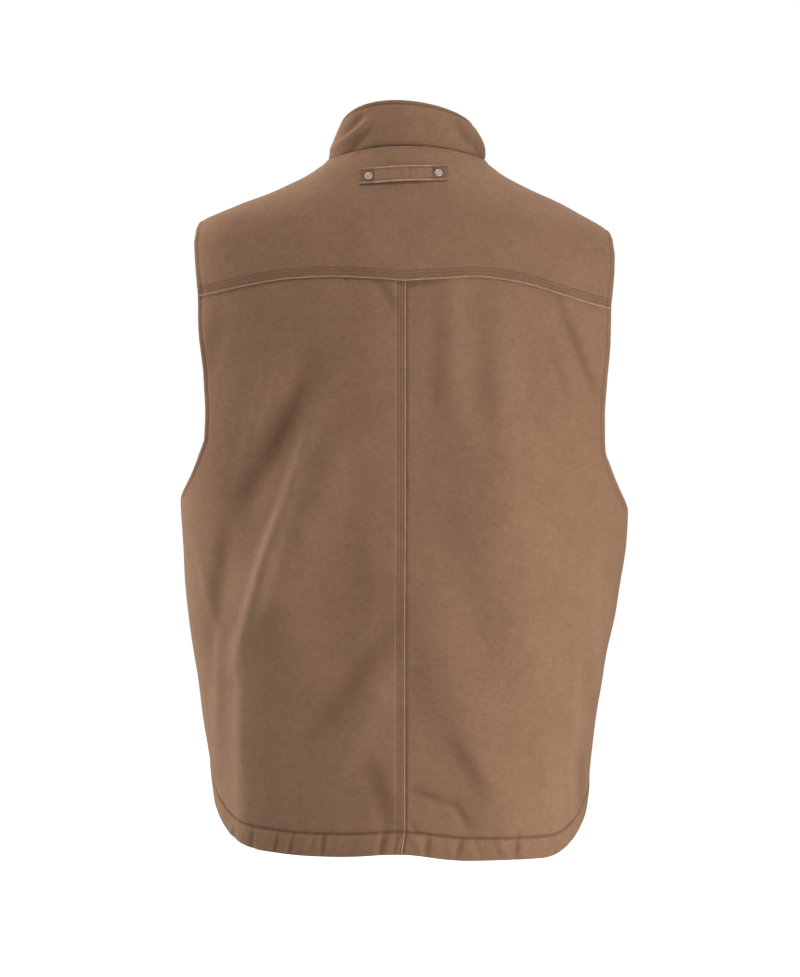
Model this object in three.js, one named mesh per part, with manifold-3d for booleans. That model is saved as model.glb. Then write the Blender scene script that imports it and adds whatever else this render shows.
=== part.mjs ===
// Canvas work vest in the shape it has when worn, in millimetres with +Z up.
// The wearer faces +Y, so the back faces -Y, and +X is the wearer's right.
// The origin is the middle of the neck hole, level with the collar seam at the back.

import * as THREE from "three";
import { mergeVertices } from "three/addons/utils/BufferGeometryUtils.js";
import Module from "manifold-3d";

const solids = await Module();
solids.setup();

// Cloth and seams
const CLOTH = 2.4;            // wall of canvas with its backing
const COLLAR_CLOTH = 3.4;     // collar wall, two layers with a stiff middle
const SEAM_GAP = 0.4;         // clearance between neighbouring pieces
const LAP = 14;               // overlap of a lapped seam
const HEM = 22;               // height of the turned-up hem
const HEM_TURN = 1.6;         // extra wall inside the hem
const HEM_STEP = 1.12;        // the extra wall has ended at this share of the hem height
const LAP_STEP = CLOTH + SEAM_GAP;

// Body sections, from the collar seam down. The level is the height at the back,
// frontDrop is how much lower the same section runs at the front.
const SECTIONS = [
  { level: 0, halfWidth: 74, back: 62, front: 78, frontDrop: 75, square: 2.0 },
  { level: -10, halfWidth: 78.5, back: 69, front: 84, frontDrop: 71.5, square: 2.02 },
  { level: -20, halfWidth: 88, back: 76, front: 90, frontDrop: 68, square: 2.05 },
  { level: -40, halfWidth: 123.5, back: 88, front: 100, frontDrop: 61, square: 2.1 },
  { level: -60, halfWidth: 169.5, back: 98, front: 108, frontDrop: 54, square: 2.15 },
  { level: -78, halfWidth: 203, back: 105, front: 115, frontDrop: 48, square: 2.2 },
  { level: -100, halfWidth: 217, back: 113, front: 122, frontDrop: 41, square: 2.2 },
  { level: -160, halfWidth: 223.5, back: 129, front: 138, frontDrop: 24, square: 2.2 },
  { level: -250, halfWidth: 226, back: 140, front: 151, frontDrop: 6, square: 2.2 },
  { level: -353, halfWidth: 223.5, back: 145, front: 156, frontDrop: 0, square: 2.2 },
  { level: -450, halfWidth: 214, back: 146, front: 158, frontDrop: 0, square: 2.2 },
  { level: -550, halfWidth: 198, back: 146, front: 158, frontDrop: 0, square: 2.2 },
  { level: -620, halfWidth: 187.5, back: 147, front: 157, frontDrop: 0, square: 2.2 },
  { level: -710, halfWidth: 181, back: 149, front: 156, frontDrop: 0, square: 2.2 },
];

// Armhole edge from the shoulder tip to the underarm, as distance from the middle
const ARMHOLE = [
  { level: -78, backEdge: 203, frontEdge: 203 },
  { level: -86, backEdge: 205.5, frontEdge: 204 },
  { level: -105, backEdge: 206.5, frontEdge: 200 },
  { level: -150, backEdge: 204, frontEdge: 191 },
  { level: -190, backEdge: 202.5, frontEdge: 186 },
  { level: -230, backEdge: 198.5, frontEdge: 182 },
  { level: -270, backEdge: 196, frontEdge: 181 },
  { level: -292, backEdge: 196.5, frontEdge: 184 },
  { level: -308, backEdge: 202, frontEdge: 191 },
  { level: -328, backEdge: 211, frontEdge: 203 },
  { level: -344, backEdge: 219.5, frontEdge: 216 },
  { level: -353, backEdge: 223.5, frontEdge: 223.5 },
];
const SHOULDER_TIP = ARMHOLE[0].level;
const UNDERARM = ARMHOLE[ARMHOLE.length - 1].level;

// Yoke seam across the back, by distance from the middle
const YOKE_SEAM = [
  { out: 0, level: -137 },
  { out: 30, level: -134.5 },
  { out: 70, level: -132 },
  { out: 110, level: -135 },
  { out: 150, level: -143 },
  { out: 185, level: -151 },
  { out: 230, level: -158 },
];

// Folds of the back, seen from behind: a line from one point to another,
// its half width, and how far the cloth stands out (negative for a hollow).
// Each fold fades over a share of its line at both ends.
const FOLD_FADE = 0.25;
const FOLDS = [
  { name: "left_hollow", fromX: -66, fromZ: -180, toX: -160, toZ: -415, width: 19, lift: -9 },
  { name: "left_drape", fromX: -42, fromZ: -260, toX: -162, toZ: -490, width: 26, lift: 9 },
  { name: "left_drape_foot", fromX: -126, fromZ: -350, toX: -146, toZ: -820, width: 40, lift: 11 },
  { name: "right_tent", fromX: 0, fromZ: -390, toX: 125, toZ: -740, width: 28, lift: 6 },
  { name: "right_drape", fromX: 64, fromZ: -180, toX: 157, toZ: -770, width: 46, lift: 11 },
  { name: "right_crease", fromX: 130, fromZ: -138, toX: 196, toZ: -277, width: 12, lift: -2.5 },
  { name: "right_crease_roll", fromX: 112, fromZ: -140, toX: 176, toZ: -286, width: 14, lift: 1.5 },
];

// Outline and hang of the whole vest
const HEM_BACK_LEFT = -690;   // lowest line of the dropped tail
const HEM_BACK_RIGHT = -694;
const HEM_FRONT = -612;       // level hem at the sides and front
const HEM_RISE_LEFT = 42;     // angle from the middle of the back where the hem starts to rise
const HEM_RISE_RIGHT = 46;
const HEM_RISE_END = 106;     // angle where it has reached the front level
const HEM_NOTCH = 5;          // rise of the hem at the centre back seam
const HEM_NOTCH_WIDTH = 34;
const HEM_SCOOP = { rise: 5, turn: 48, width: 14 };  // the tail's left corner starts to rise earlier
const TAIL_LEAN = -4.5;       // the tail hangs this far toward the wearer's left
const SEAM_HOLD = 0.85;       // share of that lean which the centre back seam doesn't follow
const SEAM_KICK = 3;          // the seam swings this far back across the hem
const NECK_LEAN = 2;          // the neck sits this far toward the wearer's right
const SIDE_SAG = 6;           // the right side hangs lower and the left side higher by this
const SIDE_SEAM = 84;         // angle of the side seam from the middle of the back
const NECK_SIDE_DIP = 6;      // the collar seam is this much lower at the sides

// Yoke and front seams
const YOKE_NECK_TURN = 118;   // angle where the front shoulder seam meets the collar
const YOKE_SIDE_TURN = 74;    // angle on the neck that faces the yoke seam's end
const YOKE_FRONT = 20;        // drop from the shoulder tip to the front shoulder seam
const ZIP_HALF_GAP = 4;       // half the space between the two front edges
const ZIP_CHAIN = 2.6;        // half width of the zip's chain
const ZIP_TAPE = 10;          // half width of its tape
const ZIP_SEAT = 1.5;         // clearance of the flat tape behind the curved fronts
const ZIP_COLLAR_SEAT = 2.5;  // and behind the rounder collar

// Collar
const COLLAR_TOP = { halfWidth: 66, back: 44, front: 92, backZ: 48, sideZ: 24, frontZ: -28 };
const COLLAR_TILT = 2.5;      // the top edge is this much higher on the left and lower on the right
const COLLAR_TUCK = -0.12;    // share of the collar height that goes down inside the yoke
const COLLAR_BUTT = 0.012;    // at the front it starts this share above the seam instead
const COLLAR_BULGE = 2.5;
const COLLAR_INSET = 0.7;     // clearance inside the yoke's neck edge
const COLLAR_FRONT_FROM = 1.75;
const COLLAR_FRONT_TO = 2.03;

// Hanger loop, measured along and across the back
const LOOP = { middleX: -2.2, middleZ: -31, halfLength: 42, width: 16, wall: 2, tilt: 2, bow: 4.5 };
const RIVETS = [
  { name: "rivet_left", x: -35.6, z: -32.6 },
  { name: "rivet_right", x: 31.6, z: -29.4 },
];
const RIVET_CAP = 4;
const RIVET_SHANK = 1.5;
const RIVET_HOLE = 1.9;
const RIVET_BURR = 3.4;

// Grid sizes
const BACK_COLUMNS = 16;
const BACK_ROWS_LOW = 11;
const BACK_ROWS_HIGH = 14;
const FRONT_NECK_COLUMNS = 7;
const FRONT_ROWS_LOW = 9;
const FRONT_ROWS_CLOSE = [0.5, 1.6, 3.6];
const FRONT_ROWS_HIGH = 10;
const YOKE_BACK_EDGE = 7;
const YOKE_FRONT_EDGE = 4;
const YOKE_ROWS = [0, 0.1, 0.2, 0.34, 0.48, 0.62, 0.76, 0.89, 1];
const FRONT_SHOULDER_COLUMNS = YOKE_ROWS.length - 1;
const COLLAR_COLUMNS = 40;
const COLLAR_ROWS = [0, 0.1, 0.3, 0.53, 0.76, 0.94, 1];
const LOOP_COLUMNS = 18;
const ZIP_BODY_STEPS = 22;
const ZIP_COLLAR_STEPS = 4;

// Finishes
const FINISHES = {
  canvas: { color: 0x8c6b54, roughness: 0.92, metalness: 0 },
  canvas_light: { color: 0x91705a, roughness: 0.92, metalness: 0 },
  zip: { color: 0x4d3d33, roughness: 0.6, metalness: 0.2 },
  metal: { color: 0xb59c8a, roughness: 0.42, metalness: 0.9 },
};

const RIGHT_ANGLE = Math.PI / 2;
const radians = THREE.MathUtils.degToRad;
const lerp = THREE.MathUtils.lerp;
const smooth = THREE.MathUtils.smoothstep;

// Smooth curve through two columns of a table that never overshoots its rows
function columnCurve(table, input, output) {
  const rows = [...table].sort((one, two) => one[input] - two[input]);
  const xs = rows.map((row) => row[input]);
  const ys = rows.map((row) => row[output]);
  const last = xs.length - 1;
  const slopes = [];
  for (let i = 0; i < last; i += 1) {
    slopes.push((ys[i + 1] - ys[i]) / (xs[i + 1] - xs[i]));
  }
  const tangents = [slopes[0]];
  for (let i = 1; i < last; i += 1) {
    const before = slopes[i - 1];
    const after = slopes[i];
    tangents.push(before * after > 0 ? (2 * before * after) / (before + after) : 0);
  }
  tangents.push(slopes[last - 1]);
  return (x) => {
    if (x <= xs[0]) return ys[0];
    if (x >= xs[last]) return ys[last];
    let i = 0;
    while (xs[i + 1] < x) i += 1;
    const step = xs[i + 1] - xs[i];
    const u = (x - xs[i]) / step;
    const v = 1 - u;
    const ends = ys[i] * (1 + 2 * u) * v * v + ys[i + 1] * (1 + 2 * v) * u * u;
    return ends + step * u * v * (tangents[i] * v - tangents[i + 1] * u);
  };
}

const halfWidthAt = columnCurve(SECTIONS, "level", "halfWidth");
const backAt = columnCurve(SECTIONS, "level", "back");
const frontAt = columnCurve(SECTIONS, "level", "front");
const frontDropAt = columnCurve(SECTIONS, "level", "frontDrop");
const squareAt = columnCurve(SECTIONS, "level", "square");
const backEdgeAt = columnCurve(ARMHOLE, "level", "backEdge");
const frontEdgeAt = columnCurve(ARMHOLE, "level", "frontEdge");
const yokeSeamAt = columnCurve(YOKE_SEAM, "out", "level");

// Angle from the middle of the back at which a section reaches a distance from the middle
function turnAt(distance, level) {
  const share = Math.min(1, Math.abs(distance) / halfWidthAt(level));
  return Math.sign(distance) * Math.asin(share ** (squareAt(level) / 2));
}

// How far the vest hangs to one side
function leanAt(level) {
  return TAIL_LEAN * smooth(-level, 330, 540) + NECK_LEAN * smooth(level, -60, 0);
}

// Point on the smooth body. The turn is zero at the middle of the back and grows toward +X.
function smoothBody(turn, level) {
  const power = 2 / squareAt(level);
  const sine = Math.sin(turn);
  const cosine = Math.cos(turn);
  const out = halfWidthAt(level) * Math.abs(sine) ** power;
  const depth = cosine > 0 ? -backAt(level) : frontAt(level);
  const frontShare = cosine < 0 ? Math.abs(cosine) ** 1.5 : 0;
  const sag = smooth(out, 60, 200) * smooth(-level, 10, 110) * smooth(level, -620, -400);
  return new THREE.Vector3(
    Math.sign(sine) * out + leanAt(level),
    depth * Math.abs(cosine) ** power,
    level - frontDropAt(level) * frontShare - Math.sign(sine) * SIDE_SAG * sag,
  );
}

// Outward direction of a surface given as a function of turn and level
function outward(surface, turn, level) {
  const step = 0.004;
  const drop = 0.8;
  const along = surface(turn + step, level).sub(surface(turn - step, level));
  const up = surface(turn, level + drop).sub(surface(turn, level - drop));
  return along.cross(up).normalize();
}

// How far the folds of the back push the cloth out at a point seen from behind
function foldLift(x, z) {
  let lift = 0;
  for (const fold of FOLDS) {
    const runX = fold.toX - fold.fromX;
    const runZ = fold.toZ - fold.fromZ;
    const along = ((x - fold.fromX) * runX + (z - fold.fromZ) * runZ) / (runX * runX + runZ * runZ);
    const away = ((x - fold.fromX) * runZ - (z - fold.fromZ) * runX) / Math.hypot(runX, runZ);
    const fade = smooth(along, 0, FOLD_FADE) * smooth(1 - along, 0, FOLD_FADE);
    lift += fold.lift * fade * Math.exp(-((away / fold.width) ** 2));
  }
  return lift;
}

// Point on the folded body
function body(turn, level) {
  const point = smoothBody(turn, level);
  const backShare = smooth(Math.cos(turn), 0.02, 0.3);
  if (backShare === 0) return point;
  const lift = foldLift(point.x, point.z) * backShare * smooth(-level, 100, 190);
  return point.addScaledVector(outward(smoothBody, turn, level), lift);
}

// Point a given distance off the folded body
function bodyOff(turn, level, off) {
  return body(turn, level).addScaledVector(outward(body, turn, level), off);
}

// Lowest edge of the cloth
function hemAt(turn) {
  const angle = THREE.MathUtils.radToDeg(Math.abs(turn));
  const right = smooth(turn, -0.4, 0.4);
  const rise = smooth(angle, lerp(HEM_RISE_LEFT, HEM_RISE_RIGHT, right), HEM_RISE_END);
  const lowest = lerp(HEM_BACK_LEFT, HEM_BACK_RIGHT, right);
  const out = halfWidthAt(lowest) * Math.sin(Math.min(Math.abs(turn), RIGHT_ANGLE));
  const scoop = HEM_SCOOP.rise * (1 - right) * Math.exp(-(((angle - HEM_SCOOP.turn) / HEM_SCOOP.width) ** 2));
  return lerp(lowest, HEM_FRONT, rise) + scoop + HEM_NOTCH * Math.exp(-((out / HEM_NOTCH_WIDTH) ** 2));
}

// Distance of the centre back seam from the middle of the body
function seamAt(level) {
  return 1 - SEAM_HOLD * leanAt(level) - SEAM_KICK * smooth(-level, 662, 690);
}

// Collar seam
function neckAt(turn) {
  return -NECK_SIDE_DIP * Math.sin(turn) ** 2;
}

// Where the outer edge of a panel lies at a level, as an angle from the middle of the back
function outerTurn(level, edgeAt) {
  if (level <= UNDERARM) return radians(SIDE_SEAM);
  const edge = turnAt(edgeAt(Math.min(level, SHOULDER_TIP)), Math.min(level, SHOULDER_TIP));
  const seam = smooth(level, UNDERARM, UNDERARM + 6);
  return Math.min(edge, lerp(radians(SIDE_SEAM), RIGHT_ANGLE, seam));
}

// End of the yoke seam on the armhole edge
function yokeEnd() {
  let level = -150;
  for (let i = 0; i < 20; i += 1) level = yokeSeamAt(backEdgeAt(level));
  return { level, turn: turnAt(backEdgeAt(level), level) };
}
const YOKE_END = yokeEnd();

// Height of the yoke seam at an angle from the middle of the back
function yokeSeamLevel(turn) {
  let level = -140;
  for (let i = 0; i < 20; i += 1) {
    const out = halfWidthAt(level) * Math.sin(Math.abs(turn)) ** (2 / squareAt(level));
    level = yokeSeamAt(out);
  }
  return level;
}

// The left back panel steps up over the right one near the centre back seam
function panelStep(fromSeam) {
  return LAP_STEP * smooth(fromSeam, -63, -26);
}

// The yoke steps up over that lap near its own lower edge
function yokeStep(x, heightOverSeam) {
  const across = smooth(x, -66, -26) * smooth(-x, -44, -3);
  return LAP_STEP * across * (1 - smooth(heightOverSeam, 22, 60));
}

// Closed sheet between an outer and an inner grid of points
function sheet(columns, rows, outerAt, innerAt) {
  const positions = [];
  const faces = [];
  const wide = columns + 1;
  const layer = wide * (rows + 1);
  for (const pointAt of [outerAt, innerAt]) {
    for (let j = 0; j <= rows; j += 1) {
      for (let i = 0; i <= columns; i += 1) {
        const point = pointAt(i, j);
        positions.push(point.x, point.y, point.z);
      }
    }
  }
  const span = (a, b) => Math.hypot(...[0, 1, 2].map((k) => positions[3 * a + k] - positions[3 * b + k]));
  const quad = (a, b, c, d) => {
    if (span(a, c) <= span(b, d)) faces.push(a, b, c, a, c, d);
    else faces.push(a, b, d, b, c, d);
  };
  for (let j = 0; j < rows; j += 1) {
    for (let i = 0; i < columns; i += 1) {
      const a = j * wide + i;
      quad(a, a + 1, a + 1 + wide, a + wide);
      quad(layer + a, layer + a + wide, layer + a + 1 + wide, layer + a + 1);
    }
  }
  const rim = [];
  for (let i = 0; i < columns; i += 1) rim.push(i);
  for (let j = 0; j < rows; j += 1) rim.push(j * wide + columns);
  for (let i = columns; i > 0; i -= 1) rim.push(rows * wide + i);
  for (let j = rows; j > 0; j -= 1) rim.push(j * wide);
  rim.forEach((start, k) => {
    const end = rim[(k + 1) % rim.length];
    quad(start, layer + start, layer + end, end);
  });
  const geometry = new THREE.BufferGeometry();
  geometry.setAttribute("position", new THREE.Float32BufferAttribute(positions, 3));
  geometry.setIndex(faces);
  return geometry;
}

// Rows of a panel: the hem at its own height, even rows up to the underarm,
// and above that rows that lie closer together at both ends
function panelRows(low, high, closeRows) {
  const rows = [{ overHem: 0 }, { overHem: HEM }, { overHem: HEM * HEM_STEP }];
  for (let j = 1; j <= low; j += 1) rows.push({ low: j / low });
  for (const overArm of closeRows) rows.push({ overArm });
  for (let j = 1; j <= high; j += 1) rows.push({ high: smooth(j / high, 0, 1) });
  return rows;
}

// Level of a panel row between the bottom and the top of one column
function rowLevel(row, bottom, top) {
  if ("overHem" in row) return bottom + row.overHem;
  if ("low" in row) return lerp(bottom + HEM * HEM_STEP, UNDERARM, row.low);
  if ("overArm" in row) return UNDERARM + row.overArm;
  return lerp(UNDERARM, top, row.high);
}

// One back panel; the side is -1 for the wearer's left and 1 for the right
function backPanel(side) {
  const over = side < 0;
  const seam = radians(SIDE_SEAM);
  const hemEnd = hemAt(side * seam);
  const topEnd = YOKE_END.level + LAP;
  const rows = panelRows(BACK_ROWS_LOW, BACK_ROWS_HIGH, []);
  const shares = over ? [0, -1] : [-1, 0];
  for (let i = 1; i <= BACK_COLUMNS; i += 1) shares.push(i / BACK_COLUMNS);
  const place = (i, j) => {
    const share = Math.max(0, shares[i]);
    const edge = outerTurn(rowLevel(rows[j], hemEnd, topEnd), backEdgeAt) - SEAM_GAP / 2 / 200;
    const top = yokeSeamLevel(share * YOKE_END.turn) + LAP;
    const level = rowLevel(rows[j], hemAt(side * share * seam), top);
    let turn = side * share * edge;
    if (shares[i] < 0) turn = turnAt(seamAt(level) - LAP, level);
    if (over && shares[i] === 0) turn = turnAt(seamAt(level), level);
    return { turn, level };
  };
  const stepAt = ({ turn, level }) => {
    const fromSeam = smoothBody(turn, level).x - leanAt(level) - seamAt(level);
    return over ? panelStep(fromSeam) : 0;
  };
  const outer = (i, j) => {
    const spot = place(i, j);
    return bodyOff(spot.turn, spot.level, stepAt(spot));
  };
  const inner = (i, j) => {
    const spot = place(i, j);
    const step = stepAt(spot);
    const turned = j < 2 ? HEM_TURN * (1 - step / LAP_STEP) : 0;
    return bodyOff(spot.turn, spot.level, step - CLOTH - turned);
  };
  return side > 0
    ? sheet(shares.length - 1, rows.length - 1, outer, inner)
    : sheet(shares.length - 1, rows.length - 1,
      (i, j) => outer(shares.length - 1 - i, j), (i, j) => inner(shares.length - 1 - i, j));
}

// End of the front shoulder seam on the armhole edge
const FRONT_END_LEVEL = SHOULDER_TIP - YOKE_FRONT;
const FRONT_END_TURN = Math.PI - turnAt(frontEdgeAt(FRONT_END_LEVEL), FRONT_END_LEVEL);

// Angle of a front edge beside the zip
function zipTurn(level) {
  return Math.PI - turnAt(ZIP_HALF_GAP, level);
}

// One front panel
function frontPanel(side) {
  const seam = radians(SIDE_SEAM) + SEAM_GAP / 200;
  const neckTurn = radians(YOKE_NECK_TURN);
  const neckStart = neckAt(neckTurn);
  const hemEnd = hemAt(side * seam);
  const rows = panelRows(FRONT_ROWS_LOW, FRONT_ROWS_HIGH, FRONT_ROWS_CLOSE);
  const columns = FRONT_SHOULDER_COLUMNS + FRONT_NECK_COLUMNS;
  const place = (i, j) => {
    const share = i / columns;
    const onShoulder = i <= FRONT_SHOULDER_COLUMNS;
    const along = onShoulder
      ? YOKE_ROWS[i]
      : (i - FRONT_SHOULDER_COLUMNS) / FRONT_NECK_COLUMNS;
    const topTurn = onShoulder
      ? lerp(FRONT_END_TURN, neckTurn, along) + lerp(SEAM_GAP, 2 * SEAM_GAP, along) / 70
      : lerp(neckTurn, zipTurn(0), along);
    const topLevel = onShoulder ? lerp(FRONT_END_LEVEL, neckStart, along) : neckAt(topTurn);
    const level = rowLevel(rows[j], hemAt(side * lerp(seam, Math.PI, share)), topLevel);
    const edgeLevel = rowLevel(rows[j], hemEnd, FRONT_END_LEVEL);
    const edge = edgeLevel <= UNDERARM
      ? seam
      : Math.max(Math.PI - outerTurn(edgeLevel, frontEdgeAt), seam);
    const end = zipTurn(level);
    const topShare = (topTurn - FRONT_END_TURN) / (zipTurn(0) - FRONT_END_TURN);
    const spread = lerp(share, topShare, smooth(rows[j].high ?? 0, 0, 1));
    return { turn: side * lerp(edge, end, spread), level };
  };
  const outer = (i, j) => {
    const { turn, level } = place(i, j);
    return bodyOff(turn, level, 0);
  };
  const inner = (i, j) => {
    const { turn, level } = place(i, j);
    return bodyOff(turn, level, -CLOTH - (j < 2 ? HEM_TURN : 0));
  };
  return side > 0
    ? sheet(columns, rows.length - 1, outer, inner)
    : sheet(columns, rows.length - 1,
      (i, j) => outer(columns - i, j), (i, j) => inner(columns - i, j));
}

// Lower and neck ends of every line that crosses the yoke, from the middle to one front seam
function yokeLines() {
  const lines = [];
  for (let i = 0; i <= BACK_COLUMNS; i += 1) {
    const share = i / BACK_COLUMNS;
    const turn = share * YOKE_END.turn;
    lines.push({ turn, level: yokeSeamLevel(turn), neck: share * radians(YOKE_SIDE_TURN) });
  }
  const edgeSteps = YOKE_BACK_EDGE + YOKE_FRONT_EDGE;
  for (let k = 1; k <= edgeSteps; k += 1) {
    const neck = lerp(radians(YOKE_SIDE_TURN), radians(YOKE_NECK_TURN), k / edgeSteps);
    if (k <= YOKE_BACK_EDGE) {
      const level = lerp(SHOULDER_TIP, YOKE_END.level, (1 - k / YOKE_BACK_EDGE) ** 2);
      lines.push({ turn: turnAt(backEdgeAt(level), level), level, neck });
    } else {
      const level = SHOULDER_TIP - YOKE_FRONT * ((k - YOKE_BACK_EDGE) / YOKE_FRONT_EDGE) ** 2;
      lines.push({ turn: Math.PI - turnAt(frontEdgeAt(level), level), level, neck });
    }
  }
  return lines;
}

// The yoke, from one front shoulder seam round the back to the other
function yoke() {
  const half = yokeLines();
  const last = half.length - 1;
  const place = (i, j) => {
    const line = half[Math.abs(i - last)];
    const side = Math.sign(i - last);
    const share = YOKE_ROWS[j];
    return {
      turn: side * lerp(line.turn, line.neck, share),
      level: lerp(line.level, neckAt(line.neck), share),
      overSeam: (neckAt(line.neck) - line.level) * share,
    };
  };
  const offAt = (i, j, off) => {
    const { turn, level, overSeam } = place(i, j);
    return bodyOff(turn, level, off + yokeStep(smoothBody(turn, level).x, overSeam));
  };
  return sheet(2 * last, YOKE_ROWS.length - 1,
    (i, j) => offAt(i, j, SEAM_GAP + CLOTH), (i, j) => offAt(i, j, SEAM_GAP));
}

// 0 where the collar is tucked inside the yoke, 1 where it meets the fronts edge to edge
function collarFrontShare(turn) {
  return smooth(Math.abs(turn), COLLAR_FRONT_FROM, COLLAR_FRONT_TO);
}

// Point on the outside of the collar; height is 0 at the seam and 1 at the top edge
function collarPoint(turn, height) {
  const sine = Math.sin(turn);
  const cosine = Math.cos(turn);
  const seam = smoothBody(turn, neckAt(turn));
  const inset = COLLAR_INSET * (1 - collarFrontShare(turn));
  const length = Math.hypot(seam.x, seam.y);
  seam.x -= (inset * seam.x) / length;
  seam.y -= (inset * seam.y) / length;
  const top = new THREE.Vector3(
    COLLAR_TOP.halfWidth * sine + NECK_LEAN,
    cosine > 0 ? -COLLAR_TOP.back * cosine : -COLLAR_TOP.front * cosine,
    cosine > 0
      ? lerp(COLLAR_TOP.sideZ, COLLAR_TOP.backZ, cosine)
      : lerp(COLLAR_TOP.sideZ, COLLAR_TOP.frontZ, 0.25 * cosine * cosine - 0.75 * cosine),
  );
  top.z -= COLLAR_TILT * Math.sin(2 * turn) * (cosine > 0 ? 1 : 0);
  const swell = COLLAR_BULGE * Math.max(0, height) * Math.max(0, 1 - height) * 4;
  const point = seam.lerp(top, height);
  point.x += swell * sine;
  point.y -= swell * cosine;
  return point;
}

// Point a given distance off the collar
function collarOff(turn, height, off) {
  const step = 0.01;
  const rise = 0.01;
  const along = collarPoint(turn + step, height).sub(collarPoint(turn - step, height));
  const up = collarPoint(turn, height + rise).sub(collarPoint(turn, height - rise));
  return collarPoint(turn, height).addScaledVector(along.cross(up).normalize(), off);
}

// The stand collar, open at the front for the zip
function collar() {
  const place = (i, j) => {
    const width = lerp(SECTIONS[0].halfWidth, COLLAR_TOP.halfWidth, COLLAR_ROWS[j]);
    const end = Math.PI - Math.asin(ZIP_HALF_GAP / width);
    const turn = lerp(-end, end, i / COLLAR_COLUMNS);
    const start = lerp(COLLAR_TUCK, COLLAR_BUTT, collarFrontShare(turn));
    return { turn, height: lerp(start, 1, COLLAR_ROWS[j]) };
  };
  const offAt = (i, j, off) => {
    const { turn, height } = place(i, j);
    return collarOff(turn, height, off);
  };
  return sheet(COLLAR_COLUMNS, COLLAR_ROWS.length - 1,
    (i, j) => offAt(i, j, 0), (i, j) => offAt(i, j, -COLLAR_CLOTH));
}

// The closed zip behind the front edges: a flat tape with a raised chain
function frontZip() {
  const section = [
    { across: -ZIP_TAPE, off: -1.2 },
    { across: ZIP_TAPE, off: -1.2 },
    { across: ZIP_TAPE, off: 0 },
    { across: ZIP_CHAIN, off: 0 },
    { across: ZIP_CHAIN, off: 2.6 },
    { across: -ZIP_CHAIN, off: 2.6 },
    { across: -ZIP_CHAIN, off: 0 },
    { across: -ZIP_TAPE, off: 0 },
  ];
  const stations = [];
  for (let k = 0; k <= ZIP_BODY_STEPS; k += 1) {
    const level = lerp(HEM_FRONT + HEM * HEM_STEP + 3, -6, k / ZIP_BODY_STEPS);
    const normal = outward(smoothBody, Math.PI, level);
    stations.push({ point: bodyOff(Math.PI, level, -CLOTH - ZIP_SEAT), normal });
  }
  for (let k = 0; k <= ZIP_COLLAR_STEPS; k += 1) {
    const height = lerp(0, 0.94, k / ZIP_COLLAR_STEPS);
    const point = collarOff(Math.PI, height, -COLLAR_CLOTH - ZIP_COLLAR_SEAT);
    const normal = collarOff(Math.PI, height, 1).sub(collarOff(Math.PI, height, 0)).normalize();
    stations.push({ point, normal });
  }
  const positions = [];
  const faces = [];
  const size = section.length;
  stations.forEach(({ point, normal }) => {
    section.forEach(({ across, off }) => {
      positions.push(point.x + across, point.y + normal.y * off, point.z + normal.z * off);
    });
  });
  for (let k = 0; k + 1 < stations.length; k += 1) {
    for (let i = 0; i < size; i += 1) {
      const a = k * size + i;
      const b = k * size + ((i + 1) % size);
      faces.push(a, b + size, a + size, a, b, b + size);
    }
  }
  const outline = section.map(({ across, off }) => new THREE.Vector2(across, off));
  const end = (stations.length - 1) * size;
  THREE.ShapeUtils.triangulateShape(outline, []).forEach(([a, b, c]) => {
    faces.push(a, c, b);
    faces.push(end + a, end + b, end + c);
  });
  const geometry = new THREE.BufferGeometry();
  geometry.setAttribute("position", new THREE.Float32BufferAttribute(positions, 3));
  geometry.setIndex(faces);
  return geometry;
}

// The locker loop, flat at its riveted ends and standing off in the middle
function hangerLoop() {
  const ground = SEAM_GAP + CLOTH + SEAM_GAP;
  const rows = 2;
  const offAt = (i, j, wall) => {
    const u = lerp(-1, 1, i / LOOP_COLUMNS);
    const x = LOOP.middleX + LOOP.halfLength * u;
    const level = LOOP.middleZ + LOOP.tilt * u + LOOP.width * (j / rows - 0.5);
    const stand = LOOP.bow * smooth(1 - Math.abs(u), 0.3, 0.85);
    return bodyOff(turnAt(x, level), level, ground + stand + wall);
  };
  return sheet(LOOP_COLUMNS, rows, (i, j) => offAt(i, j, LOOP.wall), (i, j) => offAt(i, j, 0));
}

// Place a shape that stands along +Y on the back, pointing straight out of the cloth
function standOnBack(geometry, x, z) {
  const turn = turnAt(x, z);
  const normal = outward(body, turn, z);
  const spin = new THREE.Quaternion().setFromUnitVectors(new THREE.Vector3(0, 1, 0), normal);
  const point = body(turn, z);
  return geometry.applyQuaternion(spin).translate(point.x, point.y, point.z);
}

// One rivet: domed cap, shank through loop and yoke, flat burr inside
function rivet({ x, z }) {
  const under = SEAM_GAP + CLOTH + SEAM_GAP + LOOP.wall + 0.3;
  const profile = [
    { radius: 0, height: -1.9 },
    { radius: RIVET_BURR, height: -1.9 },
    { radius: RIVET_BURR, height: -0.8 },
    { radius: RIVET_SHANK, height: -0.8 },
    { radius: RIVET_SHANK, height: under },
    { radius: RIVET_CAP, height: under },
    { radius: RIVET_CAP, height: under + 0.5 },
    { radius: RIVET_CAP * 0.8, height: under + 1.3 },
    { radius: RIVET_CAP * 0.45, height: under + 1.7 },
    { radius: 0, height: under + 1.8 },
  ];
  const outline = profile.map(({ radius, height }) => new THREE.Vector2(radius, height));
  return standOnBack(new THREE.LatheGeometry(outline, 16), x, z);
}

// Weld a shape so that it can be cut
function toSolid(geometry) {
  const bare = new THREE.BufferGeometry();
  bare.setAttribute("position", geometry.getAttribute("position"));
  if (geometry.index) bare.setIndex(geometry.index);
  const welded = mergeVertices(bare, 1e-4);
  const mesh = new solids.Mesh({
    numProp: 3,
    vertProperties: new Float32Array(welded.getAttribute("position").array),
    triVerts: new Uint32Array(welded.index.array),
  });
  mesh.merge();
  return new solids.Manifold(mesh);
}

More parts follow.
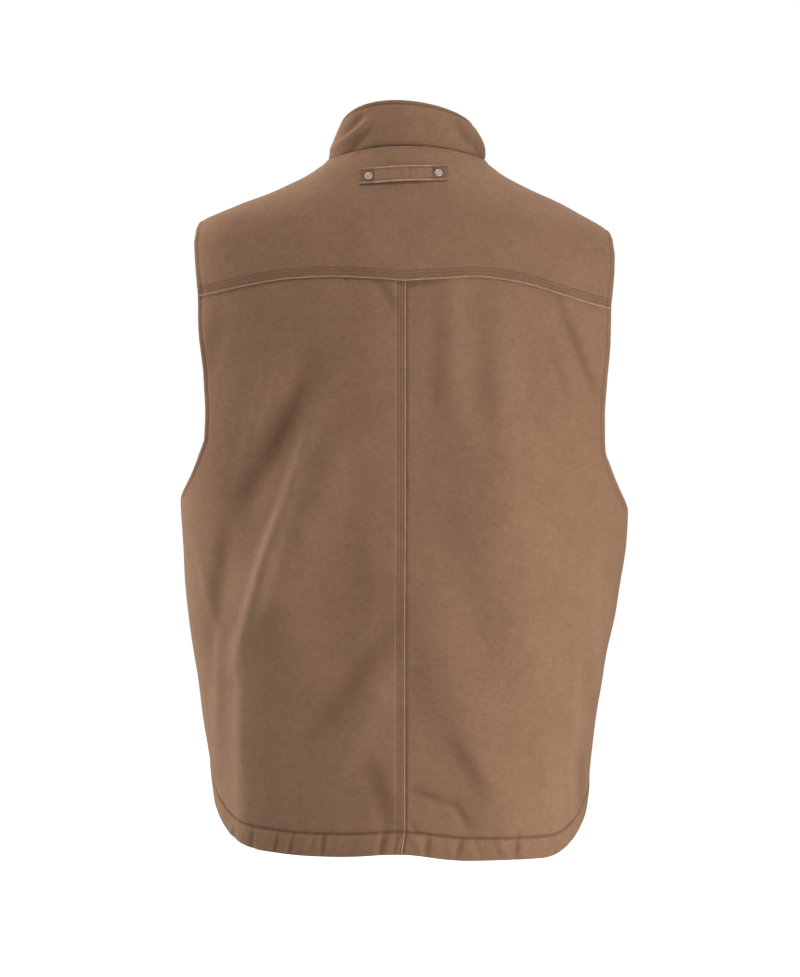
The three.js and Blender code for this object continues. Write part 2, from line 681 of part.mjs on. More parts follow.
// Cut the rivet holes through a piece of cloth
function withRivetHoles(geometry) {
  let solid = toSolid(geometry);
  for (const { x, z } of RIVETS) {
    const drill = standOnBack(new THREE.CylinderGeometry(RIVET_HOLE, RIVET_HOLE, 30, 12), x, z);
    solid = solid.subtract(toSolid(drill));
  }
  const mesh = solid.getMesh();
  const cut = new THREE.BufferGeometry();
  cut.setAttribute("position", new THREE.Float32BufferAttribute(mesh.vertProperties, 3));
  cut.setIndex(Array.from(mesh.triVerts));
  return cut;
}

// Assembly
const vest = new THREE.Group();
vest.name = "canvas_vest";

function add(name, geometry, finish) {
  const flat = geometry.index ? geometry.toNonIndexed() : geometry;
  flat.computeVertexNormals();
  const mesh = new THREE.Mesh(flat, new THREE.MeshStandardMaterial(FINISHES[finish]));
  mesh.name = name;
  vest.add(mesh);
}

add("yoke", withRivetHoles(yoke()), "canvas");
add("back_panel_left", backPanel(-1), "canvas");
add("back_panel_right", backPanel(1), "canvas");
add("front_panel_left", frontPanel(-1), "canvas");
add("front_panel_right", frontPanel(1), "canvas");
add("collar", collar(), "canvas");
add("front_zip", frontZip(), "zip");
add("hanger_loop", withRivetHoles(hangerLoop()), "canvas_light");
for (const place of RIVETS) add(place.name, rivet(place), "metal");

export default vest;
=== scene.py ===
import math

import bpy
import numpy as np
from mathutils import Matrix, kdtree


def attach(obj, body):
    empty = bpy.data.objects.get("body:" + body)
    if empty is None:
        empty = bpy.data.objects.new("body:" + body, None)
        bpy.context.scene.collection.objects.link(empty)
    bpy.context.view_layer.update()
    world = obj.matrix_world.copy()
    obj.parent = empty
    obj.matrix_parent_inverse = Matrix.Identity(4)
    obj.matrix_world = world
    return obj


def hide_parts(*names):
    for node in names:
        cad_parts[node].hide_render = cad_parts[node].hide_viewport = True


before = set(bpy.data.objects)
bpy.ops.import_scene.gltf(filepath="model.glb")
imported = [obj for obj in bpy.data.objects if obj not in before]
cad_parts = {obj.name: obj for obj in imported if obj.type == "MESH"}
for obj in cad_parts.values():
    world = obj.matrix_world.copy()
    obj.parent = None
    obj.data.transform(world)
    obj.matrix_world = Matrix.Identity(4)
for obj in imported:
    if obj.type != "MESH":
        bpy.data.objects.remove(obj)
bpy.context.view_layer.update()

# Canvas vest seen from behind. Sizes are in millimetres until a mesh is made,
# in the frame of the solids: the back faces -Y and +X is the wearer's right.
MM = 0.001

# Camera of the photograph, and its picture size in pixels
PHOTO_WIDTH = 800
PHOTO_HEIGHT = 977
CAMERA_X = -4.5
CAMERA_AWAY = 3500
CAMERA_Z = -336
SENSOR_MM = 36

# Cloth and seams
CLOTH = 2.4
COLLAR_CLOTH = 3.4
SEAM_GAP = 0.4
LAP = 14
HEM = 22
HEM_TURN = 1.6
HEM_STEP = 1.12
LAP_STEP = CLOTH + SEAM_GAP
LAP_EDGE = 1.3                  # wall at the folded edge of a lapped seam
YOKE_TUCK = 2.6                 # the yoke's armhole edge ends this much inside the back panel's
SIDE_TUCK = 7                   # the front goes this far under the back at the side seam
SHOULDER_LAP = 8                # and this far under the yoke at the armhole end of the shoulder seam
SHOULDER_LAP_TURN = 3.5         # the same at the neck, as an angle
GRID = 2.5                      # usual distance between mesh lines

# Body sections, from the collar seam down
SECTION_COLUMNS = ("level", "half_width", "back", "front", "front_drop", "square")
SECTIONS = [
    (0, 74, 62, 78, 75, 2.0),
    (-10, 78.5, 69, 84, 71.5, 2.02),
    (-20, 88, 76, 90, 68, 2.05),
    (-40, 123.5, 88, 100, 61, 2.1),
    (-60, 169.5, 98, 108, 54, 2.15),
    (-78, 203, 105, 115, 48, 2.2),
    (-100, 217, 113, 122, 41, 2.2),
    (-160, 223.5, 129, 138, 24, 2.2),
    (-250, 226, 140, 151, 6, 2.2),
    (-353, 223.5, 145, 156, 0, 2.2),
    (-450, 214, 146, 158, 0, 2.2),
    (-550, 198, 146, 158, 0, 2.2),
    (-620, 187.5, 147, 157, 0, 2.2),
    (-710, 181, 149, 156, 0, 2.2),
]

# Armhole edge from the shoulder tip to the underarm, as distance from the middle
ARMHOLE_COLUMNS = ("level", "back_edge", "front_edge")
ARMHOLE = [
    (-78, 203, 203),
    (-86, 205.5, 204),
    (-105, 206.5, 200),
    (-150, 204, 191),
    (-190, 202.5, 186),
    (-230, 198.5, 182),
    (-270, 196, 181),
    (-292, 196.5, 184),
    (-308, 202, 191),
    (-328, 211, 203),
    (-344, 219.5, 216),
    (-353, 223.5, 223.5),
]
SHOULDER_TIP = -78
UNDERARM = -353

# Yoke seam across the back, by distance from the middle
YOKE_SEAM_COLUMNS = ("out", "level")
YOKE_SEAM = [
    (0, -137),
    (30, -134.5),
    (70, -132),
    (110, -135),
    (150, -143),
    (185, -151),
    (230, -158),
]

# Main folds of the back, close to those of the solids: a line, its half width and its lift
FOLD_FADE = 0.25
FOLDS = [
    # from_x, from_z, to_x, to_z, width, lift
    (-78, -180, -170, -385, 19, -8),
    (-42, -260, -162, -490, 26, 9),
    (-126, -350, -146, -820, 40, 11),
    (0, -390, 125, -740, 28, 6),
    (64, -180, 157, -770, 46, 11),
    (130, -138, 196, -277, 12, -2.5),
    (112, -140, 176, -286, 14, 1.5),
]

# Fine folds and creases, in pixels of the photograph, with the lift in millimetres.
# A slant of 1 turns a ridge into a step that is high on the left of the line's run.
FINE_FOLDS = [
    # from_px, from_py, to_px, to_py, width, lift, slant
    (552, 292, 598, 402, 5, -2.4, 0.3),
    (541, 325, 572, 410, 6, -1.4, 0.3),
    (454, 265, 456, 430, 12, 2.0, 0.0),
    (484, 280, 488, 430, 10, -0.5, 0.0),
    (508, 275, 512, 440, 15, 1.4, 0.0),
    (370, 278, 395, 312, 6, -2.0, 0.3),
    (404, 612, 298, 756, 12, -1.8, 0.0),
    (410, 640, 330, 800, 12, 1.5, 0.0),
    (304, 376, 268, 474, 9, -1.6, 0.0),
    (323, 380, 243, 630, 9, 4.2, 0.3),
    (282, 510, 230, 684, 9, 3.8, 0.0),
    (242, 620, 243, 850, 9, 3.6, 0.0),
    (272, 350, 236, 500, 9, 2.4, 0.0),
    (228, 520, 208, 660, 9, -2.6, 0.0),
    (438, 275, 432, 430, 9, -1.1, 0.0),
    (480, 330, 496, 480, 12, -1.0, 0.0),
    (366, 752, 394, 842, 10, -2.2, 0.0),
    (195, 540, 219, 650, 5, 1.6, 0.0),
    (219, 625, 217, 780, 5, 1.6, 0.0),
    (598, 530, 598, 700, 5, 1.6, 0.0),
    (578, 630, 577, 800, 5, 1.5, 0.0),
    (569, 735, 572, 826, 3, 2.2, 0.0),
    (560, 760, 552, 850, 12, 1.4, 0.0),
    (579, 735, 582, 806, 4, -1.8, 0.0),
    (236, 817, 234, 844, 2.5, -1.4, 0.0),
    (254, 826, 252, 852, 2.5, -1.7, 0.0),
    (277, 829, 271, 858, 2.5, -2.2, 0.3),
    (292, 831, 286, 860, 2.5, -2.0, 0.3),
    (324, 830, 321, 860, 2.5, -1.6, 0.0),
    (384, 827, 377, 858, 3, -2.6, 0.3),
    (428, 833, 423, 863, 2.5, -2.2, 0.3),
    (461, 836, 453, 865, 2.5, -2.2, 0.3),
    (520, 829, 514, 864, 2.5, -1.8, 0.0),
    (407, 818, 417, 838, 3, -1.8, 0.3),
    (404, 790, 458, 809, 4, -2.2, 0.3),
    (449, 800, 470, 833, 5, -2.0, 0.3),
    (447, 736, 488, 806, 9, -1.6, 0.0),
    (224, 300, 203, 390, 9, -1.3, 0.0),
]

# Creases of the collar, in the same pixels
COLLAR_FOLDS = [
    # from_px, from_py, to_px, to_py, width, lift, slant
    (330, 154, 376, 118, 4, 2.6, 0.6),
    (338, 140, 366, 112, 4, -2.6, 0.0),
    (338, 164, 374, 126, 4, -2.8, 0.0),
    (452, 120, 482, 158, 5, -3.0, 0.3),
    (470, 138, 480, 172, 3, 2.0, 0.0),
    (477, 138, 484, 172, 3, -2.4, 0.0),
]

# Slow unevenness of the whole cloth
WAVES = [
    # along_x, along_z, phase, lift
    (0.052, 0.013, 0.4, 0.45),
    (0.031, -0.042, 1.9, 0.4),
    (-0.087, 0.035, 3.1, 0.22),
    (0.118, 0.061, 5.2, 0.14),
    (0.023, 0.094, 2.6, 0.16),
]

# Outline and hang of the whole vest
HEM_BACK_LEFT = -690
HEM_BACK_RIGHT = -694
HEM_FRONT = -612
HEM_RISE_LEFT = 42
HEM_RISE_RIGHT = 46
HEM_RISE_END = 106
HEM_NOTCH = 5
HEM_NOTCH_WIDTH = 34
HEM_SCOOP = 5                   # the left corner of the tail starts to rise this much earlier
HEM_SCOOP_TURN = 48
HEM_SCOOP_WIDTH = 14
TAIL_LEAN = -4.5
SEAM_HOLD = 0.85                # share of the lean that the centre back seam doesn't follow
SEAM_KICK = 3                   # it swings this far back across the hem
NECK_LEAN = 2
SIDE_SAG = 6
SIDE_SEAM = 84
NECK_SIDE_DIP = 10
NECK_RIPPLE = 0.2

# Yoke and front seams
YOKE_NECK_TURN = 118
YOKE_SIDE_TURN = 74
YOKE_FRONT = 20
ZIP_HALF_GAP = 4
ZIP_SEAT = 1.5
ZIP_COLLAR_SEAT = 2.5
ZIP_HEM_SEAT = 2.2              # the tape lies this much deeper behind the hem
ZIP_END = 3                     # and stops this far above its edge

# Collar
COLLAR_HALF_WIDTH = 66
COLLAR_BACK = 44
COLLAR_FRONT = 92
COLLAR_BACK_Z = 48
COLLAR_SIDE_Z = 24
COLLAR_FRONT_Z = -28
COLLAR_TILT = 2.5
COLLAR_TUCK = -0.12
COLLAR_BUTT = 0.012
COLLAR_BULGE = 2.5
COLLAR_BULGE_RIGHT = 4          # extra fullness of the collar's right side
COLLAR_INSET = 0.7
COLLAR_FRONT_FROM = 1.75
COLLAR_FRONT_TO = 2.03

# Hanger loop and its rivets
LOOP_X = -2.2
LOOP_Z = -31
LOOP_HALF = 42
LOOP_WIDTH = 16
LOOP_WALL = 0.9
LOOP_TILT = 2
LOOP_BOW = 1.2
RIVETS = [
    # node, x, z
    ("rivet_left", -35.6, -32.6),
    ("rivet_right", 31.6, -29.4),
]
RIVET_CAP = 4
RIVET_BURR = 3.4
RIVET_SHANK = 1.5
RIVET_NOD = 0.8                 # the soft cloth lets the caps face straight back

# Stitch rows: distance from the edge they follow
YOKE_ROWS = (3.2, 6.2, 9.2)
CENTRE_ROWS = (1.8, 5.0, 7.6)
EDGE_ROW = 6.0
COLLAR_ROW = 5.0
STITCH_PITCH = 3.2
STITCH_LENGTH = 2.5
STITCH_RADIUS = 0.42

# Distances from an edge at which mesh lines lie, so that rolls and grooves show
EDGE_MARKS = (0, 0.12, 0.45, 1.2, 2.4, 4, 5.2, 6, 6.8, 8.2, 10)
SEAM_MARKS = (0, 0.12, 0.45, 1.1, 1.8, 2.5, 3.2, 4.1, 5.0, 5.7, 6.4, 7.1, 7.7, 8.5, 9.3, 10.3, 11.8, 14)
HEM_MARKS = (0, 0.12, 0.45, 1.2, 3, 6, 9, 12, 15, 17.5, 19.5, 20.8, 22, 23.2, 24.6, 26.5)
PLAIN_MARKS = (0, 0.12, 0.45, 1.2, 2.4)
LOOP_MARKS = (0, 0.12, 0.4, 1, 1.8)
LOOP_STEP = 1.2
LOOP_ROW_STEP = 0.9

# Where a shape sets in and where it is complete, as pairs for smooth()
TAIL_LEAN_DOWN = (330, 540)
NECK_LEAN_UP = (-60, 0)
SAG_OUT = (60, 200)
SAG_DOWN = (10, 110)
SAG_END = (-620, -400)
FOLD_FACING = (0.02, 0.3)       # cosine of the turn
FOLD_DOWN = (100, 190)
SEAM_KICK_DOWN = (662, 690)
PANEL_STEP_ACROSS = (-63, -26)
YOKE_STEP_LEFT = (-66, -26)
YOKE_STEP_RIGHT = (-44, -3)
YOKE_STEP_UP = (22, 60)

# Shares of edges, small angles and mesh detail
YOKE_SEAM_SHARE = 0.66          # the yoke seam's share of the yoke's lower edge
YOKE_EDGE_SHARE = 0.92          # where its armhole edge ends and its front edge starts
FRONT_SHOULDER = 8 / 15         # the shoulder seam's share of a front's top edge
EDGE_GAP_TURN = SEAM_GAP / 400
SIDE_TUCK_TURN = SIDE_TUCK / 220
NECK_HALF_WIDTH = SECTIONS[0][1]
BODY_PROBE = (0.004, 0.8)       # steps of turn and level that give the outward direction
COLLAR_PROBE = (0.01, 0.01)
COARSE = 60
FINE = 1500
LINE_STEP = 0.4
FROM_END = np.s_[:, ::-1]       # columns of a grid from the last to the first
SIDE_NAMES = {-1: "left", 1: "right"}
RIGHT_ANGLE = math.pi / 2

# Puckers beside the seams
PUCKERS = {
    # place: (lift, pitch, phase)
    "under_yoke": (0.45, 11, 0.7),
    "beside_lap": (0.3, 12, 2.2),
    "centre_band": (0.3, 9.5, 1.1),
    "yoke_band": (0.3, 10, 1.1),
    "band_stitches": (0.16, 3.4, 0.3),
    "edge": (0.3, 13, 2.0),
    "hem_wide": (0.85, 17, 1.3),
    "hem_above": (0.45, 15, 1.3),
    "hem_fine": (0.55, 10, 2.6),
    "neck": (0.15, 10, 1.9),
    "collar": (0.22, 12, 0.4),
    "loop": (0.5, 7, 0.6),
}

# Rolls, grooves and painted shade lines beside the edges: strength, distance from the edge, width
HEM_GROOVE = (-1.5, HEM, 1.5)
EDGE_ROLL = (0.35, 2.6, 2.0)
EDGE_GROOVE = (-0.6, EDGE_ROW, 1.3)
BAND_ROLL = (0.15, 1.6, 1.3)
COLLAR_GROOVE = (-0.8, COLLAR_ROW, 1.3)
LOOP_ROLL = (0.35, 0.9, 0.9)
LOOP_GROOVE = (-0.3, 2.6, 0.9)
HEM_SHADE = (1, HEM, 1.2)
EDGE_SHADE = (0.5, EDGE_ROW, 0.8)
COLLAR_SHADE = (0.9, COLLAR_ROW, 1.0)
LOOP_SHADE = (0.4, 2.6, 0.7)
LOOP_WEAR = (0.75, 0.7, 0.6)

# Wear of the edges themselves: strength, width
HEM_WEAR = (0.22, 1.6)
ARM_WEAR = (0.12, 1.6)
ZIP_WEAR = (0.3, 1.4)
CENTRE_WEAR = (0.8, 0.6)
YOKE_WEAR = (0.75, 0.6)
COLLAR_WEAR = (0.16, 3.2)

# Thread beads and zip teeth
BEAD_RINGS = ((-1, 0.35), (-0.6, 0.9), (0, 1), (0.6, 0.9), (1, 0.35))  # along, girth
BEAD_SIDES = 6
BEAD_PROBE = 0.6
LOOP_BEAD = {"pitch": 2.6, "length": 2.1, "radius": 0.36}
TACK_BEAD = {"pitch": 2.4, "length": 2.0, "radius": 0.36}
TOOTH = {"pitch": 2.6, "length": 1.5, "radius": 1.0, "sink": 0}
TOOTH_ROWS = ((-0.9, 0), (0.9, 1))  # distance from the middle, first path point
TOOTH_OUT = 1.1
LOOP_ROWS = (0.15, 0.85)
TACKS = [
    # from_along, from_across, to_along, to_across
    (-0.15, 0.15, -0.15, 0.85),
    (0.15, 0.15, 0.15, 0.85),
    (-0.15, 0.15, 0.15, 0.85),
    (-0.15, 0.85, 0.15, 0.15),
]

# Rivet profiles, radius and height: the burr from the cloth, the cap from the loop
RIVET_BURR_PROFILE = [(0, -1.9), (RIVET_BURR, -1.9), (RIVET_BURR, -0.8), (RIVET_SHANK, -0.8)]
RIVET_CAP_PROFILE = [
    (RIVET_SHANK, 0.2),
    (RIVET_CAP - 0.5, 0.2),
    (RIVET_CAP, 0.5),
    (RIVET_CAP, 0.8),
    (RIVET_CAP - 0.25, 1.25),
    (RIVET_CAP - 0.8, 1.6),
    (RIVET_CAP - 1.3, 1.6),
    (RIVET_CAP - 1.8, 1.1),
    (1.8, 0.9),
    (1.4, 1.2),
    (0.8, 1.6),
    (0, 1.8),
]
RIVET_SIDES = 40

# Zip: section of the tape, steps up the body and the collar, top ends
ZIP_TAPE = [(-10, -1.2), (10, -1.2), (10, 0), (-10, 0)]
ZIP_STEPS = 120
ZIP_COLLAR_STEPS = 20
ZIP_TOP = -6
ZIP_COLLAR_TOP = 0.94


def smooth(value, low, high):
    share = np.clip((value - low) / (high - low), 0, 1)
    return share * share * (3 - 2 * share)


def lerp(start, end, share):
    return start + (end - start) * share


def bell(away, width):
    return np.exp(-((away / width) ** 2))


def ridge(away, shape):
    height, at, width = shape
    return height * bell(away - at, width)


def arch(share, power):
    return np.sin(math.pi * np.clip(share, 0, 1)) ** power


def column_curve(table, names, wanted):
    """Smooth curve from a table's first column to another, which never overshoots its rows"""
    column = names.index(wanted)
    xs, ys = np.array(sorted((row[0], row[column]) for row in table), float).T
    slopes = np.diff(ys) / np.diff(xs)
    before = slopes[:-1]
    after = slopes[1:]
    total = np.where(before + after == 0, 1, before + after)
    inner = np.where(before * after > 0, 2 * before * after / total, 0)
    tangents = np.concatenate([slopes[:1], inner, slopes[-1:]])

    def curve(x):
        x = np.clip(x, xs[0], xs[-1])
        i = np.clip(np.searchsorted(xs, x) - 1, 0, len(xs) - 2)
        step = xs[i + 1] - xs[i]
        u = (x - xs[i]) / step
        v = 1 - u
        ends = ys[i] * (1 + 2 * u) * v * v + ys[i + 1] * (1 + 2 * v) * u * u
        return ends + step * u * v * (tangents[i] * v - tangents[i + 1] * u)

    return curve


half_width_at, back_at, front_at, front_drop_at, square_at = (
    column_curve(SECTIONS, SECTION_COLUMNS, name) for name in SECTION_COLUMNS[1:]
)
back_edge_at, front_edge_at = (
    column_curve(ARMHOLE, ARMHOLE_COLUMNS, name) for name in ARMHOLE_COLUMNS[1:]
)
yoke_seam_at = column_curve(YOKE_SEAM, YOKE_SEAM_COLUMNS, "level")


def turn_at(distance, level):
    """Angle from the middle of the back at which a section reaches a distance from the middle"""
    share = np.minimum(1, np.abs(distance) / half_width_at(level))
    return np.sign(distance) * np.arcsin(share ** (square_at(level) / 2))


def lean_at(level):
    return TAIL_LEAN * smooth(-level, *TAIL_LEAN_DOWN) + NECK_LEAN * smooth(level, *NECK_LEAN_UP)


def smooth_body(turn, level):
    power = 2 / square_at(level)
    sine = np.sin(turn)
    cosine = np.cos(turn)
    out = half_width_at(level) * np.abs(sine) ** power
    depth = np.where(cosine > 0, -back_at(level), front_at(level))
    front_share = np.where(cosine < 0, np.abs(cosine) ** 1.5, 0)
    sag = smooth(out, *SAG_OUT) * smooth(-level, *SAG_DOWN) * smooth(level, *SAG_END)
    x = np.sign(sine) * out + lean_at(level)
    y = depth * np.abs(cosine) ** power
    z = level - front_drop_at(level) * front_share - np.sign(sine) * SIDE_SAG * sag
    return np.stack(np.broadcast_arrays(x, y, z), -1)


def unit(vectors):
    return vectors / np.maximum(np.linalg.norm(vectors, axis=-1, keepdims=True), 1e-9)


def outward(surface, turn, level, probe=BODY_PROBE):
    along = surface(turn + probe[0], level) - surface(turn - probe[0], level)
    up = surface(turn, level + probe[1]) - surface(turn, level - probe[1])
    return unit(np.cross(along, up))


def beside_line(x, y, from_x, from_y, to_x, to_y):
    """Share along a line, and distance to its side"""
    run_x = to_x - from_x
    run_y = to_y - from_y
    length = math.hypot(run_x, run_y)
    along = ((x - from_x) * run_x + (y - from_y) * run_y) / length**2
    return along, ((x - from_x) * run_y - (y - from_y) * run_x) / length


def fold_lift(x, z):
    lift = 0
    for *line, width, height in FOLDS:
        along, away = beside_line(x, z, *line)
        fade = smooth(along, 0, FOLD_FADE) * smooth(1 - along, 0, FOLD_FADE)
        lift = lift + height * fade * bell(away, width)
    return lift


def body(turn, level):
    """Point on the folded body. The turn is zero at the middle of the back and grows toward +X."""
    point = smooth_body(turn, level)
    share = smooth(np.cos(turn), *FOLD_FACING) * smooth(-level, *FOLD_DOWN)
    lift = fold_lift(point[..., 0], point[..., 2]) * share
    return point + outward(smooth_body, turn, level) * lift[..., None]


def photo_place(points):
    """Pixel of the photograph at which a point is seen"""
    reach = CAMERA_AWAY / (points[..., 1] + CAMERA_AWAY)
    across = PHOTO_WIDTH / 2 + (points[..., 0] - CAMERA_X) * reach
    down = PHOTO_HEIGHT / 2 - (points[..., 2] - CAMERA_Z) * reach
    return across, down


def crease_lift(points, table):
    """Lift of the creases in a table of pixel lines"""
    across, down = photo_place(points)
    lift = 0
    for *line, width, height, slant in table:
        along, away = beside_line(across, down, *line)
        away = away / width
        lift = lift + height * arch(along, 0.7) * bell(away, 1) * (1 - slant + slant * 2.3 * away)
    return lift


def wave_lift(points):
    lift = 0
    for along_x, along_z, phase, height in WAVES:
        around = np.where(points[..., 1] > 0, 400 - points[..., 0], points[..., 0])
        lift = lift + height * np.sin(along_x * around + along_z * points[..., 2] + phase)
    return lift


def pucker(place, along, shift=0):
    """Uneven ripple along a seam"""
    lift, pitch, phase = PUCKERS[place]
    phase = phase + shift
    turns = 2 * math.pi * along / pitch
    slow = 0.65 + 0.35 * np.sin(turns * 0.13 + phase * 1.7)
    ripple = np.sin(turns + phase) + 0.6 * np.sin(turns * 0.61 + phase * 2.3)
    return lift * (slow * (ripple + 0.4 * np.sin(turns * 1.73 + phase * 3.1)) / 2)


def hem_at(turn):
    angle = np.degrees(np.abs(turn))
    right = smooth(turn, -0.4, 0.4)
    rise = smooth(angle, lerp(HEM_RISE_LEFT, HEM_RISE_RIGHT, right), HEM_RISE_END)
    lowest = lerp(HEM_BACK_LEFT, HEM_BACK_RIGHT, right)
    out = half_width_at(lowest) * np.sin(np.minimum(np.abs(turn), RIGHT_ANGLE))
    scoop = HEM_SCOOP * (1 - right) * bell(angle - HEM_SCOOP_TURN, HEM_SCOOP_WIDTH)
    return lerp(lowest, HEM_FRONT, rise) + scoop + HEM_NOTCH * bell(out, HEM_NOTCH_WIDTH)


def seam_at(level):
    """Distance of the centre back seam from the middle of the body"""
    return 1 - SEAM_HOLD * lean_at(level) - SEAM_KICK * smooth(-level, *SEAM_KICK_DOWN)


def neck_at(turn):
    return -NECK_SIDE_DIP * np.sin(turn) ** 2


def zip_turn(level):
    return math.pi - turn_at(ZIP_HALF_GAP, level)


def outer_turn(level, edge_at):
    """Where the outer edge of a panel lies at a level"""
    high = np.minimum(level, SHOULDER_TIP)
    edge = turn_at(edge_at(high), high)
    limit = lerp(math.radians(SIDE_SEAM), RIGHT_ANGLE, smooth(level, UNDERARM, UNDERARM + 6))
    return np.where(level <= UNDERARM, math.radians(SIDE_SEAM), np.minimum(edge, limit))


def settled(step, level):
    """Level that a step leaves where it is"""
    for _ in range(20):
        level = step(level)
    return level


def yoke_seam_level(turn):
    def step(level):
        return yoke_seam_at(half_width_at(level) * np.abs(np.sin(turn)) ** (2 / square_at(level)))

    return settled(step, -140.0)


YOKE_END = settled(lambda level: float(yoke_seam_at(back_edge_at(level))), -150.0)
YOKE_END_TURN = float(turn_at(back_edge_at(YOKE_END), YOKE_END))
FRONT_END = SHOULDER_TIP - YOKE_FRONT


def row_level(up, split, bottom, top):
    """Level of a panel row: all columns reach the underarm at the same share"""
    low = np.clip(up / split, 0, 1)
    high = np.clip((up - split) / (1 - split), 0, 1)
    return lerp(lerp(bottom, UNDERARM, low), top, high)


def underarm_share(bottom, top):
    return float((UNDERARM - bottom) / (top - bottom))


# Grids of points

def with_marks(marks, first, last, inner):
    """Shares along lines: fixed distances at both ends, the others spread between them"""
    start = np.array(marks[0])[:, None] / first
    end = 1 - np.array(marks[1])[::-1, None] / last
    return np.concatenate([start, start[-1] + inner * (end[0] - start[-1]), end])


def even_shares(count):
    return np.linspace(0, 1, count + 1)[1:-1, None]


def spaced(length, marks, step):
    """Shares along one line, with the same marks at both ends"""
    count = max(2, math.ceil((length - marks[-1] - marks[-1]) / step))
    return with_marks((marks, marks), [length], [length], even_shares(count))[:, 0]


def run_lengths(points, axis):
    """Distance along the grid lines of one axis, from the first point of each"""
    steps = np.linalg.norm(np.diff(points, axis=axis), axis=-1)
    first = np.zeros_like(np.take(steps, [0], axis=axis))
    return np.concatenate([first, np.cumsum(steps, axis=axis)], axis=axis)


def fine_grid(place, surface, row_marks, column_marks, edge_share):
    """Share and height grids of a panel whose lines keep fixed distances from its edges.

    The rows between the marks are evenly spread along the line at edge_share."""
    coarse = np.linspace(0, 1, COARSE)
    points = surface(*place(coarse[None, :], coarse[:, None]))
    tall = np.linalg.norm(np.diff(points, axis=0), axis=-1) * (COARSE - 1)
    wide = np.linalg.norm(np.diff(points, axis=1), axis=-1) * (COARSE - 1)
    fine = np.linspace(0, 1, FINE)
    line = surface(*place(np.full((1, 1), edge_share), fine[:, None]))
    run = run_lengths(line, 0)[:, 0]
    low = row_marks[0][-1]
    high = run[-1] - row_marks[1][-1]
    even = np.interp(np.linspace(low, high, math.ceil((high - low) / GRID) + 1), run, fine)
    inner = (even[1:-1, None] - even[0]) / (even[-1] - even[0])
    rows = with_marks(row_marks, tall[0], tall[-1], inner)
    edge_rows = np.array([np.interp(edge_share, coarse, row) for row in rows])
    first = np.interp(edge_rows, coarse, wide[:, 0])
    last = np.interp(edge_rows, coarse, wide[:, -1])
    inner = even_shares(math.ceil(wide.mean(1).max() / GRID))
    columns = with_marks(column_marks, first, last, inner).T
    heights = np.stack([np.interp(column, coarse, row) for column, row in zip(columns, rows)])
    return columns, heights


def panel_grid(place, row_marks, column_marks, edge_share, surface=body, probe=BODY_PROBE):
    """Shares, turns, levels, points and outward directions of a panel"""
    share, up = fine_grid(place, surface, row_marks, column_marks, edge_share)
    turn, level = place(share, up)
    return share, turn, level, surface(turn, level), outward(surface, turn, level, probe)


def at_marks(at, marks, line):
    return np.stack([np.interp(at, marks, line[:, k]) for k in range(3)], 1)


def distance_to(points, line):
    """Distance of every grid point from a line of points, and the place along it"""
    marks = run_lengths(line, 0)
    dense = np.linspace(0, marks[-1], int(marks[-1] / LINE_STEP) + 2)
    spots = at_marks(dense, marks, line)
    tree = kdtree.KDTree(len(spots))
    for i, spot in enumerate(spots):
        tree.insert(spot, i)
    tree.balance()
    found = [tree.find(spot) for spot in points.reshape(-1, 3)]
    away = np.array([hit[2] for hit in found]).reshape(points.shape[:-1])
    along = dense[[hit[1] for hit in found]].reshape(points.shape[:-1])
    return away, along


def arm_distance(points, edge, level):
    """Distance from the armhole edge, which grows quickly below the underarm"""
    away, along = distance_to(points, edge)
    return away + 30 * smooth(UNDERARM + 4 - level, 0, 8), along


def edge_distance(points):
    """Distance from the nearest of the four grid borders, along the grid lines"""
    down = run_lengths(points, 0)
    across = run_lengths(points, 1)
    return np.minimum.reduce([down, down[-1] - down, across, across[:, -1:] - across])


def grid_normals(points, like):
    normal = unit(np.cross(np.gradient(points, axis=1), np.gradient(points, axis=0)))
    sign = np.sign(np.sum(normal * like, -1, keepdims=True))
    return normal * np.where(sign == 0, 1, sign)


# Meshes

def link_object(name, data):
    thing = bpy.data.objects.new(name, data)
    bpy.context.scene.collection.objects.link(thing)
    return thing


def make_object(name, vertices, faces, material, smooth_faces=True):
    mesh = bpy.data.meshes.new(name)
    mesh.from_pydata((np.asarray(vertices) * MM).tolist(), [], [list(face) for face in faces])
    mesh.polygons.foreach_set("use_smooth", [smooth_faces] * len(mesh.polygons))
    mesh.materials.append(material)
    mesh.update()
    return link_object(name, mesh)


def grid_faces(grid):
    corners = (grid[:-1, :-1], grid[:-1, 1:], grid[1:, 1:], grid[1:, :-1])
    return np.stack(corners, -1).reshape(-1, 4)


